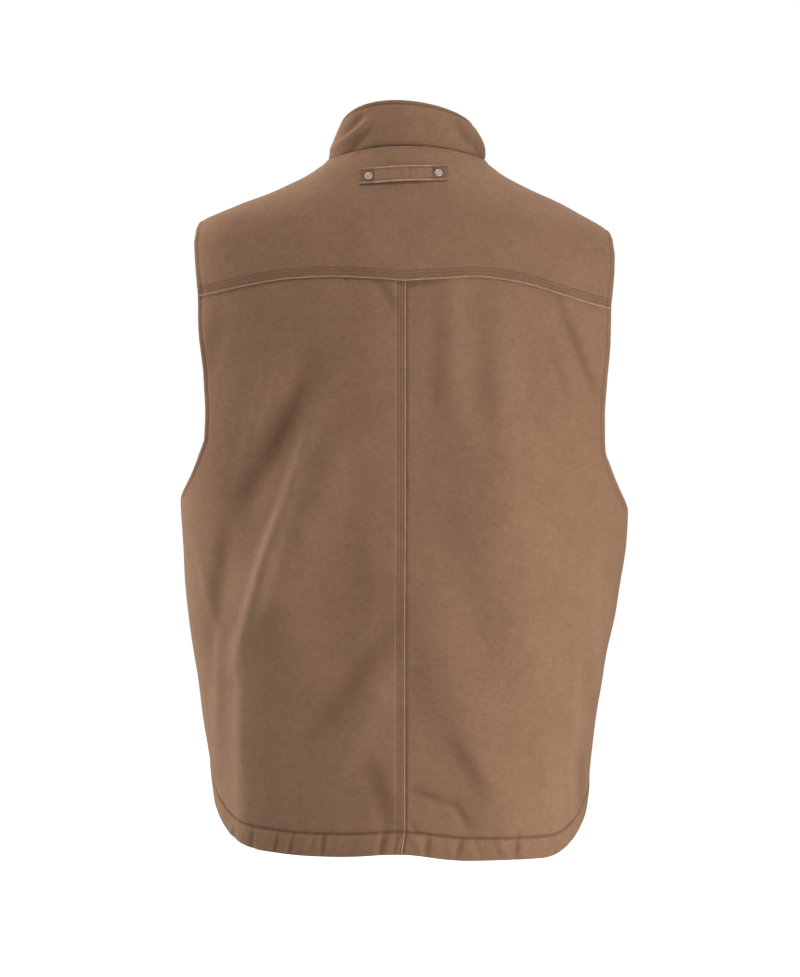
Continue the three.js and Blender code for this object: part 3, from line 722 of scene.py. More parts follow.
def cloth_piece(name, material, base, normal, lift, thick, weave, run, shades):
    """Closed sheet with rolled edges, and its outer points and directions.

    An outer and an inner grid share their border."""
    outer = base + normal * lift[..., None]
    edge = edge_distance(outer)
    half = thick / 2
    near = np.minimum(1, edge / half)
    bulge = half * np.sqrt(np.maximum(0, 1 - (1 - near) ** 2))
    middle = outer - normal * np.asarray(half)[..., None]
    top = middle + normal * bulge[..., None]
    under = middle - normal * bulge[..., None]
    rows, columns = edge.shape
    index = np.arange(rows * columns).reshape(rows, columns)
    inside = np.zeros(edge.shape, bool)
    inside[1:-1, 1:-1] = True
    under_index = index.copy()
    under_index[inside] = rows * columns + np.arange(inside.sum())
    vertices = np.concatenate([top.reshape(-1, 3), under[inside]])
    faces = np.concatenate([grid_faces(index), grid_faces(under_index)[:, ::-1]])
    mid = (rows // 2, columns // 2)
    right = top[mid[0], mid[1] + 1] - top[mid]
    up = top[mid[0] + 1, mid[1]] - top[mid]
    if np.dot(np.cross(right, up), normal[mid]) < 0:
        faces = faces[:, ::-1]
    thing = make_object(name, vertices, faces.tolist(), material)
    mesh = thing.data
    loops = np.zeros(len(mesh.loops), np.int32)
    mesh.loops.foreach_get("vertex_index", loops)

    def on_vertices(grid):
        grid = np.broadcast_to(grid, edge.shape)
        return np.concatenate([grid.reshape(-1), grid[inside]])

    flat = np.stack([on_vertices(weave[0]), on_vertices(weave[1])], 1) * MM
    layer = mesh.uv_layers.new(name="weave")
    layer.data.foreach_set("uv", flat[loops].astype(np.float32).reshape(-1))
    marks = {key: np.clip(grid, 0, 1) for key, grid in shades.items()}
    marks["run"] = run
    for key, grid in marks.items():
        values = mesh.attributes.new(key, "FLOAT", "POINT")
        values.data.foreach_set("value", on_vertices(grid).astype(np.float32))
    return thing, (top, grid_normals(top, normal))


def row_path(points, normal, away, value, axis):
    """Points where the grid lines of one axis cross a distance from an edge"""
    if axis == 1:
        points = points.swapaxes(0, 1)
        normal = normal.swapaxes(0, 1)
        away = away.T
    spots = []
    sides = []
    for line in range(points.shape[1]):
        sign = away[:, line] - value
        cross = np.nonzero(sign[:-1] * sign[1:] <= 0)[0]
        if len(cross) == 0:
            continue
        i = cross[0]
        share = sign[i] / (sign[i] - sign[i + 1] + 1e-12)
        spots.append(lerp(points[i, line], points[i + 1, line], share))
        sides.append(lerp(normal[i, line], normal[i + 1, line], share))
    return np.array(spots), unit(np.array(sides))


def tube_faces(rings, sides):
    """Faces of a tube made of rings, with flat ends"""
    faces = []
    for ring in range(rings - 1):
        for k in range(sides):
            a = ring * sides + k
            b = ring * sides + (k + 1) % sides
            faces.append((a, b, b + sides, a + sides))
    end = (rings - 1) * sides
    return faces + [tuple(range(sides - 1, -1, -1)), tuple(range(end, end + sides))]


def stitches(path, sides, pitch=STITCH_PITCH, length=STITCH_LENGTH, radius=STITCH_RADIUS, sink=0.1):
    """Thread beads along a path on the cloth, as vertices and faces"""
    marks = run_lengths(path, 0)
    count = int(marks[-1] / pitch)
    at = (np.arange(count) + 0.5) * marks[-1] / count
    spot = at_marks(at, marks, path)
    side = unit(at_marks(at, marks, sides))
    run = unit(at_marks(at + BEAD_PROBE, marks, path) - at_marks(at - BEAD_PROBE, marks, path))
    cross = unit(np.cross(side, run))
    vertices = []
    for along, girth in BEAD_RINGS:
        dip = -sink - radius * 0.8 * along**2
        for k in range(BEAD_SIDES):
            angle = 2 * math.pi * k / BEAD_SIDES
            out = math.cos(angle) * cross + math.sin(angle) * side
            vertices.append(spot + run * along * length / 2 + out * radius * girth + side * dip)
    vertices = np.stack(vertices, 1)
    size = vertices.shape[1]
    bead = tube_faces(len(BEAD_RINGS), BEAD_SIDES)
    faces = [tuple(corner + k * size for corner in face) for k in range(count) for face in bead]
    return vertices.reshape(-1, 3), faces


def stitch_row(skin, away, value, axis, pick=np.s_[:]):
    """Beads along a distance from an edge, on the picked lines of a cloth piece"""
    top, facing = skin
    return stitches(*row_path(top[pick], facing[pick], away[pick], value, axis))


def stitch_object(name, rows, material):
    """One object for all the stitch rows of a piece"""
    vertices = []
    faces = []
    start = 0
    for points, found in rows:
        vertices.append(points)
        faces += [tuple(corner + start for corner in face) for face in found]
        start += len(points)
    return make_object(name, np.concatenate(vertices), faces, material)


# Materials

def plug(tree, node, inputs):
    """Link outputs to a node's inputs, and set the others to constants"""
    for key, value in inputs.items():
        socket = node.inputs[key]
        if isinstance(value, bpy.types.NodeSocket):
            tree.links.new(value, socket)
        else:
            socket.default_value = value


def add_node(tree, kind, inputs, **settings):
    made = tree.nodes.new(kind)
    for key, value in settings.items():
        setattr(made, key, value)
    plug(tree, made, inputs)
    return made


def math_node(tree, operation, first, second=0.0):
    return add_node(tree, "ShaderNodeMath", {0: first, 1: second}, operation=operation).outputs[0]


def weighted(tree, parts):
    """Sum of values, each times its share"""
    total = None
    for value, share in parts:
        part = math_node(tree, "MULTIPLY", value, share)
        total = part if total is None else math_node(tree, "ADD", total, part)
    return total


def mix_colour(tree, share, first, second):
    return add_node(tree, "ShaderNodeMix", {0: share, 6: first, 7: second}, data_type="RGBA").outputs[2]


def ramp(tree, value, low, high, bottom=0.0, top=1.0):
    inputs = {"Value": value, "From Min": low, "From Max": high, "To Min": bottom, "To Max": top}
    return add_node(tree, "ShaderNodeMapRange", inputs).outputs[0]


def attribute(tree, name):
    return add_node(tree, "ShaderNodeAttribute", {}, attribute_name=name).outputs["Fac"]


def noise(tree, vector, scale, detail):
    inputs = {"Vector": vector, "Scale": scale, "Detail": detail, "Roughness": 0.55}
    return add_node(tree, "ShaderNodeTexNoise", inputs).outputs[0]


def bumped(tree, height, strength, distance):
    inputs = {"Height": height, "Strength": strength, "Distance": distance}
    return add_node(tree, "ShaderNodeBump", inputs).outputs[0]


def new_material(name):
    material = bpy.data.materials.new(name)
    material.use_nodes = True
    tree = material.node_tree
    place = add_node(tree, "ShaderNodeTexCoord", {}).outputs["Object"]
    return material, tree, tree.nodes["Principled BSDF"], place


def darker(colour, share):
    return tuple(share * part for part in colour[:3]) + (1,)


RIB = 0.0021          # height of one weft rib, in metres


def canvas_material(name, dark, light, wear_and_highlight):
    """Washed cotton canvas: weft ribs, slubs, mottling, pale worn edges with painted highlight on fold
    ridges, and painted shade along stitch rows, beside seams and in crease hollows
    """
    material, tree, shader, place = new_material(name)
    weave = add_node(tree, "ShaderNodeUVMap", {}, uv_map="weave").outputs[0]

    def yarns(across, down):
        inputs = {"Vector": weave, "Scale": (across, down, 1)}
        return noise(tree, add_node(tree, "ShaderNodeMapping", inputs).outputs[0], 1.0, 2.0)

    slub = yarns(150, 520)
    warp = yarns(640, 130)
    broken = ramp(tree, yarns(90, 240), 0.3, 0.7)
    mottle = noise(tree, place, 26.0, 4.0)
    speck = noise(tree, place, 240.0, 3.0)
    cloud = noise(tree, place, 95.0, 3.0)
    wave_inputs = {
        "Vector": weave,
        "Scale": 2 * math.pi / 20 / RIB,
        "Distortion": 1.8,
        "Detail": 2.0,
        "Detail Scale": 0.5,
    }
    ribs = add_node(tree, "ShaderNodeTexWave", wave_inputs, bands_direction="Y").outputs["Fac"]
    ribs = math_node(tree, "MULTIPLY", ribs, broken)
    parts = ((ribs, 0.05), (slub, 0.28), (warp, 0.18), (mottle, 0.24), (speck, 0.28), (cloud, 0.2))
    colour = mix_colour(tree, ramp(tree, weighted(tree, parts), 0.38, 0.82), dark, light)
    patch = ramp(tree, noise(tree, place, 110.0, 4.0), 0.3, 0.62)
    # Pale edges from wear, and a painted highlight on the fold ridges of the back panels
    edge = math_node(tree, "MULTIPLY", attribute(tree, "wear_and_highlight"), ramp(tree, patch, 0.0, 1.0, 0.4, 1.0))
    colour = mix_colour(tree, edge, colour, wear_and_highlight)
    # Painted shade: darker along the stitch rows, in dashes at the stitch pitch, and painted shadow beside
    # lapped edges and at the collar's foot
    turns = math_node(tree, "MULTIPLY", attribute(tree, "run"), 2 * math.pi / STITCH_PITCH)
    dash = ramp(tree, math_node(tree, "SINE", turns), -0.8, 0.8, 0.56, 0.7)
    stitch_marks_and_shade = math_node(tree, "MULTIPLY", attribute(tree, "stitch_marks_and_shade"), dash)
    colour = mix_colour(tree, stitch_marks_and_shade, colour, darker(dark, 0.36))
    bumps = weighted(tree, ((ribs, 0.15), (slub, 0.4), (warp, 0.35), (speck, 0.5)))
    # The base colour gets painted shade in the hollows of the creases
    looks = {
        "Base Color": mix_colour(tree, attribute(tree, "painted_crease_shade"), colour, darker(dark, 0.55)),
        "Normal": bumped(tree, bumps, 0.35, 0.0006),
        "Roughness": ramp(tree, speck, 0.2, 0.8, 0.86, 0.98),
        "Specular IOR Level": 0.1,
        "Sheen Weight": 0.1,
        "Sheen Roughness": 0.5,
        "Sheen Tint": (0.75, 0.62, 0.52, 1),
    }
    plug(tree, shader, looks)
    return material


def grain_material(name, dark, light, scale, detail, bump, looks, patches=False):
    """Fine grain in colour and height; a pair as roughness follows the grain too"""
    material, tree, shader, place = new_material(name)
    grain = noise(tree, place, scale, detail)
    tone = grain
    if patches:
        tone = weighted(tree, ((grain, 0.4), (noise(tree, place, 60.0, 2.0), 0.6)))
    made = {
        "Base Color": mix_colour(tree, ramp(tree, tone, 0.35, 0.65), dark, light),
        "Normal": bumped(tree, grain, bump, 0.0002),
    }
    if isinstance(looks["Roughness"], tuple):
        looks = {**looks, "Roughness": ramp(tree, grain, 0.3, 0.7, *looks["Roughness"])}
    plug(tree, shader, {**made, **looks})
    return material


CANVAS = canvas_material(
    "canvas", (0.205, 0.11, 0.063, 1), (0.305, 0.174, 0.104, 1), (0.55, 0.38, 0.285, 1)
)
LOOP_CANVAS = canvas_material(
    "canvas_loop", (0.215, 0.118, 0.07, 1), (0.325, 0.186, 0.114, 1), (0.57, 0.40, 0.305, 1)
)
THREAD = grain_material(
    "thread", (0.15, 0.082, 0.05, 1), (0.23, 0.13, 0.08, 1), 900.0, 2.0, 0.3,
    {"Roughness": 0.75, "Specular IOR Level": 0.25}, patches=True
)
METAL = grain_material(
    "rivet_metal", (0.43, 0.32, 0.26, 1), (0.56, 0.44, 0.37, 1), 900.0, 2.0, 0.06,
    {"Roughness": (0.7, 0.6), "Metallic": 0.35}
)
ZIP_TAPE_MATERIAL = grain_material(
    "zip_tape", (0.055, 0.034, 0.024, 1), (0.085, 0.055, 0.04, 1), 500.0, 3.0, 0.2, {"Roughness": 0.85}
)
ZIP_CHAIN_MATERIAL = grain_material(
    "zip_chain", (0.07, 0.048, 0.036, 1), (0.11, 0.078, 0.06, 1), 500.0, 3.0, 0.2, {"Roughness": 0.45}
)


# Edges and seams

def edge_worn(away, wear):
    strength, width = wear
    return strength * bell(np.maximum(0, away - 0.15), width)


def row_groove(away, rows, width):
    return sum(bell(away - row, width) for row in rows)


def band_shade(away, rows):
    """Painted shade of a stitched band: the rows and, less, the cloth between them"""
    between = smooth(away, 0.8, 2) * (1 - smooth(away, rows[-1], rows[-1] + 1.5))
    return 0.7 * row_groove(away, rows, 0.65) + 0.08 * between


def seam_band_lift(away, along, rows, place):
    """Stitched band beside a folded edge: a roll at the edge, grooves at the rows, small puckers"""
    end = rows[-1]
    grooves = -0.5 * row_groove(away, rows, 0.9)
    fine = pucker("band_stitches", along) * (1 - smooth(away, end, end + 3))
    wide = pucker(place, along) * np.exp(-np.maximum(0, away - end) / 7) * smooth(away, 0.5, end)
    return ridge(away, BAND_ROLL) + grooves + fine + wide


def edge_band_lift(away, along):
    """Folded edge with one topstitch row"""
    ripple = pucker("edge", along) * np.exp(-np.abs(away - EDGE_ROW) / 6)
    return ridge(away, EDGE_ROLL) + ridge(away, EDGE_GROOVE) + ripple


def hem_lift(points, from_hem, side):
    """Turned-up hem: a stitched groove, a full band below it and slanted puckers"""
    band = 0.9 * arch(from_hem / HEM, 0.8)
    around = points[..., 0] * np.where(points[..., 1] > 0, -1, 1)
    slanted = around + side * 0.35 * from_hem
    share = arch(from_hem / (HEM + 3), 0.6)
    above = np.exp(-np.maximum(0, from_hem - HEM) / 11) * smooth(from_hem, HEM - 2, HEM + 2)
    wide = pucker("hem_wide", slanted, side) * share + pucker("hem_above", slanted, side) * above
    return ridge(from_hem, HEM_GROOVE) + band + wide + pucker("hem_fine", slanted, side) * share


def hem_wall(from_hem):
    return HEM_TURN * (1 - smooth(from_hem, HEM, HEM * HEM_STEP))


def lap_thinning(away, end):
    return (CLOTH - LAP_EDGE) * (1 - smooth(away, 2, end))


def panel_shades(from_hem, from_arm):
    """Wear and painted stitch shade along a panel's hem and armhole edge"""
    wear_and_highlight = edge_worn(from_hem, HEM_WEAR) + edge_worn(from_arm, ARM_WEAR)
    return wear_and_highlight, ridge(from_hem, HEM_SHADE) + ridge(from_arm, EDGE_SHADE)


def panel_run(from_hem, from_arm, along_arm, level, across):
    """Distance along the nearest stitch row"""
    run = np.where(from_arm < 12, along_arm, level)
    return np.where(np.abs(from_hem - HEM) < 6, across, run)


# Painted shade in the hollows of the creases: the deeper the crease, the darker
def hollow_shade(crease):
    return 0.2 * np.clip(-crease, 0, 2)


# Back panels

def back_panel(side):
    over = side < 0
    under = 0 if over else LAP
    seam = side * math.radians(SIDE_SEAM)
    name = "back_" + SIDE_NAMES[side]
    split = underarm_share(hem_at(seam), YOKE_END + LAP)

    def inner_turn(level):
        return turn_at(seam_at(level) - under, level)

    def place(share, up):
        hem_turn = lerp(inner_turn(HEM_BACK_LEFT), seam, share)
        top_turn = lerp(inner_turn(YOKE_END), side * YOKE_END_TURN, share)
        level = row_level(up, split, hem_at(hem_turn), yoke_seam_level(top_turn) + LAP)
        edge_level = row_level(up[:, -1:], split, hem_at(seam), YOKE_END + LAP)
        edge = side * (outer_turn(edge_level, back_edge_at) - EDGE_GAP_TURN)
        return lerp(inner_turn(level), edge, share), level + 0 * share

    columns = (SEAM_MARKS if over else PLAIN_MARKS, EDGE_MARKS)
    _, turn, level, base, normal = panel_grid(place, (HEM_MARKS, PLAIN_MARKS), columns, 1.0)
    from_seam = base[..., 0] - lean_at(level) - seam_at(level)
    from_hem = run_lengths(base, 0)
    from_centre = run_lengths(base, 1)
    from_arm, along_arm = arm_distance(base, base[:, -1], level)
    under_yoke = np.maximum(0, yoke_seam_level(turn) - level)
    crease = crease_lift(base, FINE_FOLDS)
    wear_and_highlight, stitch_marks_and_shade = panel_shades(from_hem, from_arm)
    run = panel_run(from_hem, from_arm, along_arm, level, base[..., 0])
    if over:
        step = LAP_STEP * smooth(from_seam, *PANEL_STEP_ACROSS)
        thin = lap_thinning(from_centre, 12)
        centre = seam_band_lift(from_centre, level, CENTRE_ROWS, "centre_band")
        wear_and_highlight = wear_and_highlight + edge_worn(from_centre, CENTRE_WEAR)
        stitch_marks_and_shade = stitch_marks_and_shade + band_shade(from_centre, CENTRE_ROWS)
    else:
        step = 0 * turn
        thin = 0 * turn
        centre = pucker("beside_lap", level) * bell(from_centre - 16, 14)
        # Painted shadow: a dark line on the right panel beside the left panel's lapped edge
        stitch_marks_and_shade = stitch_marks_and_shade + 1.3 * bell(from_seam, 1.9)
        run = np.where(np.abs(from_seam) < 5, STITCH_PITCH / 4, run)
    lift = wave_lift(base) * smooth(from_hem, 0, 30) * smooth(under_yoke, 5, 40) + crease
    lift = lift + pucker("under_yoke", base[..., 0], side) * np.exp(-under_yoke / 12)
    lift = lift + hem_lift(base, from_hem, side) + centre + edge_band_lift(from_arm, along_arm)
    lift = step + lift - thin
    thick = CLOTH - thin + hem_wall(from_hem) * (1 - step / LAP_STEP)
    weave = (from_centre * side, level)
    # Painted highlight: the ridges of the creases are paler, added to the wear of the edges
    wear_and_highlight = wear_and_highlight + 0.05 * np.clip(crease, 0, 2)
    shades = {"wear_and_highlight": wear_and_highlight, "stitch_marks_and_shade": stitch_marks_and_shade, "painted_crease_shade": hollow_shade(crease)}
    cloth, skin = cloth_piece(name + "_cloth", CANVAS, base, normal, lift, thick, weave, run, shades)
    rows = [stitch_row(skin, from_hem, HEM, 0), stitch_row(skin, from_arm, EDGE_ROW, 1, FROM_END)]
    if over:
        seen = under_yoke[:, :40].max(1) > 0
        rows += [stitch_row(skin, from_centre, away, 1, seen) for away in CENTRE_ROWS]
    return cloth, stitch_object(name + "_stitching", rows, THREAD)


# Front panels

def front_panel(side):
    name = "front_" + SIDE_NAMES[side]
    seam = math.radians(SIDE_SEAM) - SIDE_TUCK_TURN
    neck_turn = math.radians(YOKE_NECK_TURN - SHOULDER_LAP_TURN)
    neck_start = float(neck_at(neck_turn))
    end_turn = float(zip_turn(0.0))
    lap_end = FRONT_END + SHOULDER_LAP
    lap_turn = math.pi - float(turn_at(front_edge_at(lap_end), lap_end))
    split = underarm_share(hem_at(side * seam), lap_end)

    def place(share, up):
        edge_level = row_level(up[:, :1], split, hem_at(side * seam), lap_end)
        share, up = np.broadcast_arrays(share, up)
        on_shoulder = share <= FRONT_SHOULDER
        on_neck = (share - FRONT_SHOULDER) / (1 - FRONT_SHOULDER)
        along = np.where(on_shoulder, share / FRONT_SHOULDER, on_neck)
        top_turn = np.where(on_shoulder, lerp(lap_turn, neck_turn, along), lerp(neck_turn, end_turn, along))
        top_level = np.where(on_shoulder, lerp(lap_end, neck_start, along), neck_at(top_turn))
        level = row_level(up, split, hem_at(side * lerp(seam, math.pi, share)), top_level)
        edge = np.maximum(math.pi - outer_turn(edge_level, front_edge_at), seam)
        edge = lerp(seam, edge, smooth(edge_level, UNDERARM - 1, UNDERARM + 1.5))
        top_share = (top_turn - lap_turn) / (end_turn - lap_turn)
        high = np.clip((edge_level - UNDERARM) / (lap_end - UNDERARM), 0, 1)
        spread = lerp(share, top_share, smooth(high, 0, 1))
        return side * lerp(edge, zip_turn(level), spread), level

    columns = (EDGE_MARKS, EDGE_MARKS)
    _, _, level, base, normal = panel_grid(place, (HEM_MARKS, PLAIN_MARKS), columns, 0.0)
    from_hem = run_lengths(base, 0)
    from_top = from_hem[-1:] - from_hem
    across = run_lengths(base, 1)
    from_zip = across[:, -1:] - across
    from_arm, along_arm = arm_distance(base, base[:, 0], level)
    calm = smooth(from_hem, 0, 30) * smooth(from_zip, 0, 25) * smooth(from_top, 10, 40)
    lift = 1.2 * wave_lift(base) * calm + hem_lift(base, from_hem, side) * smooth(from_zip, 0, 8)
    lift = lift + edge_band_lift(from_arm, along_arm) * smooth(from_top, 9, 16)
    lift = lift + edge_band_lift(from_zip, level)
    under_back = (1 - smooth(across, SIDE_TUCK - 2, SIDE_TUCK + 4)) * smooth(UNDERARM + 2 - level, 0, 8)
    lift = lift - LAP_STEP * under_back
    thick = CLOTH + hem_wall(from_hem)
    wear_and_highlight, stitch_marks_and_shade = panel_shades(from_hem, from_arm)
    shades = {"wear_and_highlight": wear_and_highlight + edge_worn(from_zip, ZIP_WEAR), "stitch_marks_and_shade": stitch_marks_and_shade + ridge(from_zip, EDGE_SHADE)}
    run = panel_run(from_hem, from_arm, along_arm, level, across)
    weave = (across * side, level)
    cloth, skin = cloth_piece(name + "_cloth", CANVAS, base, normal, lift, thick, weave, run, shades)
    rows = [
        stitch_row(skin, from_hem, HEM, 0),
        stitch_row(skin, from_arm, EDGE_ROW, 1),
        stitch_row(skin, from_zip, EDGE_ROW, 1, FROM_END),
    ]
    return cloth, stitch_object(name + "_stitching", rows, THREAD)


# Yoke

def yoke():
    end_turn = float(turn_at(back_edge_at(YOKE_END) - YOKE_TUCK, YOKE_END))
    end_level = float(yoke_seam_level(end_turn))
    side_turn = math.radians(YOKE_SIDE_TURN)

    def place(share, up):
        share, up = np.broadcast_arrays(share, up)
        around = 2 * share - 1
        side = np.sign(around)
        out = np.abs(around)
        on_seam = np.clip(out / YOKE_SEAM_SHARE, 0, 1)
        on_edge = np.clip((out - YOKE_SEAM_SHARE) / (YOKE_EDGE_SHARE - YOKE_SEAM_SHARE), 0, 1)
        on_front = np.clip((out - YOKE_EDGE_SHARE) / (1 - YOKE_EDGE_SHARE), 0, 1)
        seam_turn = on_seam * end_turn
        edge_level = lerp(SHOULDER_TIP, end_level, (1 - on_edge) ** 2)
        arm_edge = back_edge_at(edge_level) - YOKE_TUCK * (1 - on_edge)
        front_level = SHOULDER_TIP - YOKE_FRONT * on_front**2
        low_turn = np.where(out <= YOKE_SEAM_SHARE, seam_turn, turn_at(arm_edge, edge_level))
        front_turn = math.pi - turn_at(front_edge_at(front_level), front_level)
        low_turn = np.where(out > YOKE_EDGE_SHARE, front_turn, low_turn)
        low = np.where(out <= YOKE_SEAM_SHARE, yoke_seam_level(seam_turn), edge_level)
        low = np.where(out > YOKE_EDGE_SHARE, front_level, low)
        beyond = np.clip((out - YOKE_SEAM_SHARE) / (1 - YOKE_SEAM_SHARE), 0, 1)
        neck = on_seam * side_turn + beyond * (math.radians(YOKE_NECK_TURN) - side_turn)
        ripple = NECK_RIPPLE * np.sin(23 * side * neck + 0.7)
        return side * lerp(low_turn, neck, up), lerp(low, neck_at(neck) + ripple, up)

    columns = (PLAIN_MARKS, PLAIN_MARKS)
    share, turn, level, base, normal = panel_grid(place, (SEAM_MARKS, PLAIN_MARKS), columns, 0.5)
    x = base[..., 0]
    rim = base[0]
    at_seam = np.abs(2 * share[0] - 1) <= YOKE_SEAM_SHARE
    over_seam = level - yoke_seam_level(turn)
    from_seam, along_seam = distance_to(base, rim[at_seam])
    left = np.nonzero(~at_seam & (share[0] < 0.5))[0]
    right = np.nonzero(~at_seam & (share[0] > 0.5))[0]
    from_left, along_left = distance_to(base, rim[left])
    from_right, along_right = distance_to(base, rim[right])
    from_arm = np.minimum(from_left, from_right)
    along_arm = np.where(from_left < from_right, along_left, along_right)
    tall = run_lengths(base, 0)
    from_neck = tall[-1] - tall
    calm = smooth(from_seam, 8, 45) * smooth(from_neck, 0, 20)
    over_lap = smooth(x, *YOKE_STEP_LEFT) * smooth(-x, *YOKE_STEP_RIGHT)
    step = LAP_STEP * over_lap * (1 - smooth(over_seam, *YOKE_STEP_UP))
    lift = SEAM_GAP + CLOTH + step + 0.8 * wave_lift(base) * calm
    lift = lift + seam_band_lift(from_seam, along_seam, YOKE_ROWS, "yoke_band") * smooth(from_arm, 0, 3)
    lift = lift + edge_band_lift(from_arm, along_arm) * smooth(from_seam, 0, 4)
    lift = lift + pucker("neck", x) * np.exp(-from_neck / 7) * smooth(from_neck, 0, 2)
    thin = lap_thinning(np.minimum(from_seam, from_neck), 14)
    shades = {
        "wear_and_highlight": edge_worn(from_seam, YOKE_WEAR) + edge_worn(from_arm, ARM_WEAR),
        "stitch_marks_and_shade": band_shade(from_seam, YOKE_ROWS) + ridge(from_arm, EDGE_SHADE),
    }
    run = np.where(from_seam < 13, along_seam, along_arm)
    cloth, skin = cloth_piece(
        "yoke_cloth", CANVAS, base, normal, lift - thin, CLOTH - thin, (x, level), run, shades
    )
    rows = [stitch_row(skin, from_seam, away, 0, np.s_[:, at_seam]) for away in YOKE_ROWS]
    rows += [stitch_row(skin, from_arm, EDGE_ROW, 0, np.s_[:, lines]) for lines in (left, right)]
    return cloth, stitch_object("yoke_stitching", rows, THREAD)


# Collar

def collar_front_share(turn):
    return smooth(np.abs(turn), COLLAR_FRONT_FROM, COLLAR_FRONT_TO)


def collar_point(turn, height):
    turn, height = np.broadcast_arrays(turn, height)
    sine = np.sin(turn)
    cosine = np.cos(turn)
    seam = smooth_body(turn, neck_at(turn))
    inset = COLLAR_INSET * (1 - collar_front_share(turn))
    length = np.hypot(seam[..., 0], seam[..., 1])
    seam = seam * np.stack([1 - inset / length, 1 - inset / length, np.ones_like(turn)], -1)
    back_z = lerp(COLLAR_SIDE_Z, COLLAR_BACK_Z, cosine) - COLLAR_TILT * np.sin(2 * turn)
    front_z = lerp(COLLAR_SIDE_Z, COLLAR_FRONT_Z, 0.25 * cosine**2 - 0.75 * cosine)
    top_y = np.where(cosine > 0, -COLLAR_BACK * cosine, -COLLAR_FRONT * cosine)
    top_z = np.where(cosine > 0, back_z, front_z)
    top = np.stack([COLLAR_HALF_WIDTH * sine + NECK_LEAN, top_y, top_z], -1)
    bulge = COLLAR_BULGE + COLLAR_BULGE_RIGHT * np.maximum(0, sine) ** 3
    swell = bulge * np.maximum(0, height) * np.maximum(0, 1 - height) * 4
    point = lerp(seam, top, height[..., None])
    return point + np.stack([swell * sine, -swell * cosine, 0 * swell], -1)


def collar():
    def place(share, up):
        share, up = np.broadcast_arrays(share, up)
        width = lerp(NECK_HALF_WIDTH, COLLAR_HALF_WIDTH, up)
        end = math.pi - np.arcsin(ZIP_HALF_GAP / width)
        turn = lerp(-end, end, share)
        start = lerp(COLLAR_TUCK, COLLAR_BUTT, collar_front_share(turn))
        return turn, lerp(start, 1, up)

    rows = (PLAIN_MARKS, EDGE_MARKS)
    columns = (PLAIN_MARKS, PLAIN_MARKS)
    _, _, height, base, normal = panel_grid(place, rows, columns, 0.5, collar_point, COLLAR_PROBE)
    tall = run_lengths(base, 0)
    from_top = tall[-1] - tall
    across = run_lengths(base, 1)
    behind = smooth(-base[..., 1], -25, 5)
    crease = crease_lift(base, COLLAR_FOLDS) * behind * smooth(from_top, 2, 8)
    lift = 0.5 * wave_lift(base) * smooth(from_top, 4, 16) + crease + ridge(from_top, COLLAR_GROOVE)
    lift = lift + pucker("collar", across) * np.exp(-np.abs(from_top - COLLAR_ROW) / 5)
    # Painted shadow on the collar's foot above its seam, where it meets the yoke, plus painted shade along
    # the top stitch row
    low = np.maximum(0, height) * 50
    seam_shade = bell(low, 2.6) + 0.22 * bell(low, 9)
    shades = {
        "wear_and_highlight": edge_worn(from_top, COLLAR_WEAR),
        "stitch_marks_and_shade": ridge(from_top, COLLAR_SHADE) + 0.2 * (1 - smooth(from_top, 3, 5)) + seam_shade,
        "painted_crease_shade": hollow_shade(crease),
    }
    run = np.where(from_top < 12, across, STITCH_PITCH / 4)
    cloth, skin = cloth_piece(
        "collar_cloth", CANVAS, base, normal, lift, COLLAR_CLOTH, (across, tall), run, shades
    )
    beads = [stitch_row(skin, from_top, COLLAR_ROW, 0, np.s_[::-1])]
    return cloth, stitch_object("collar_stitching", beads, THREAD)


# Hanger loop and rivets

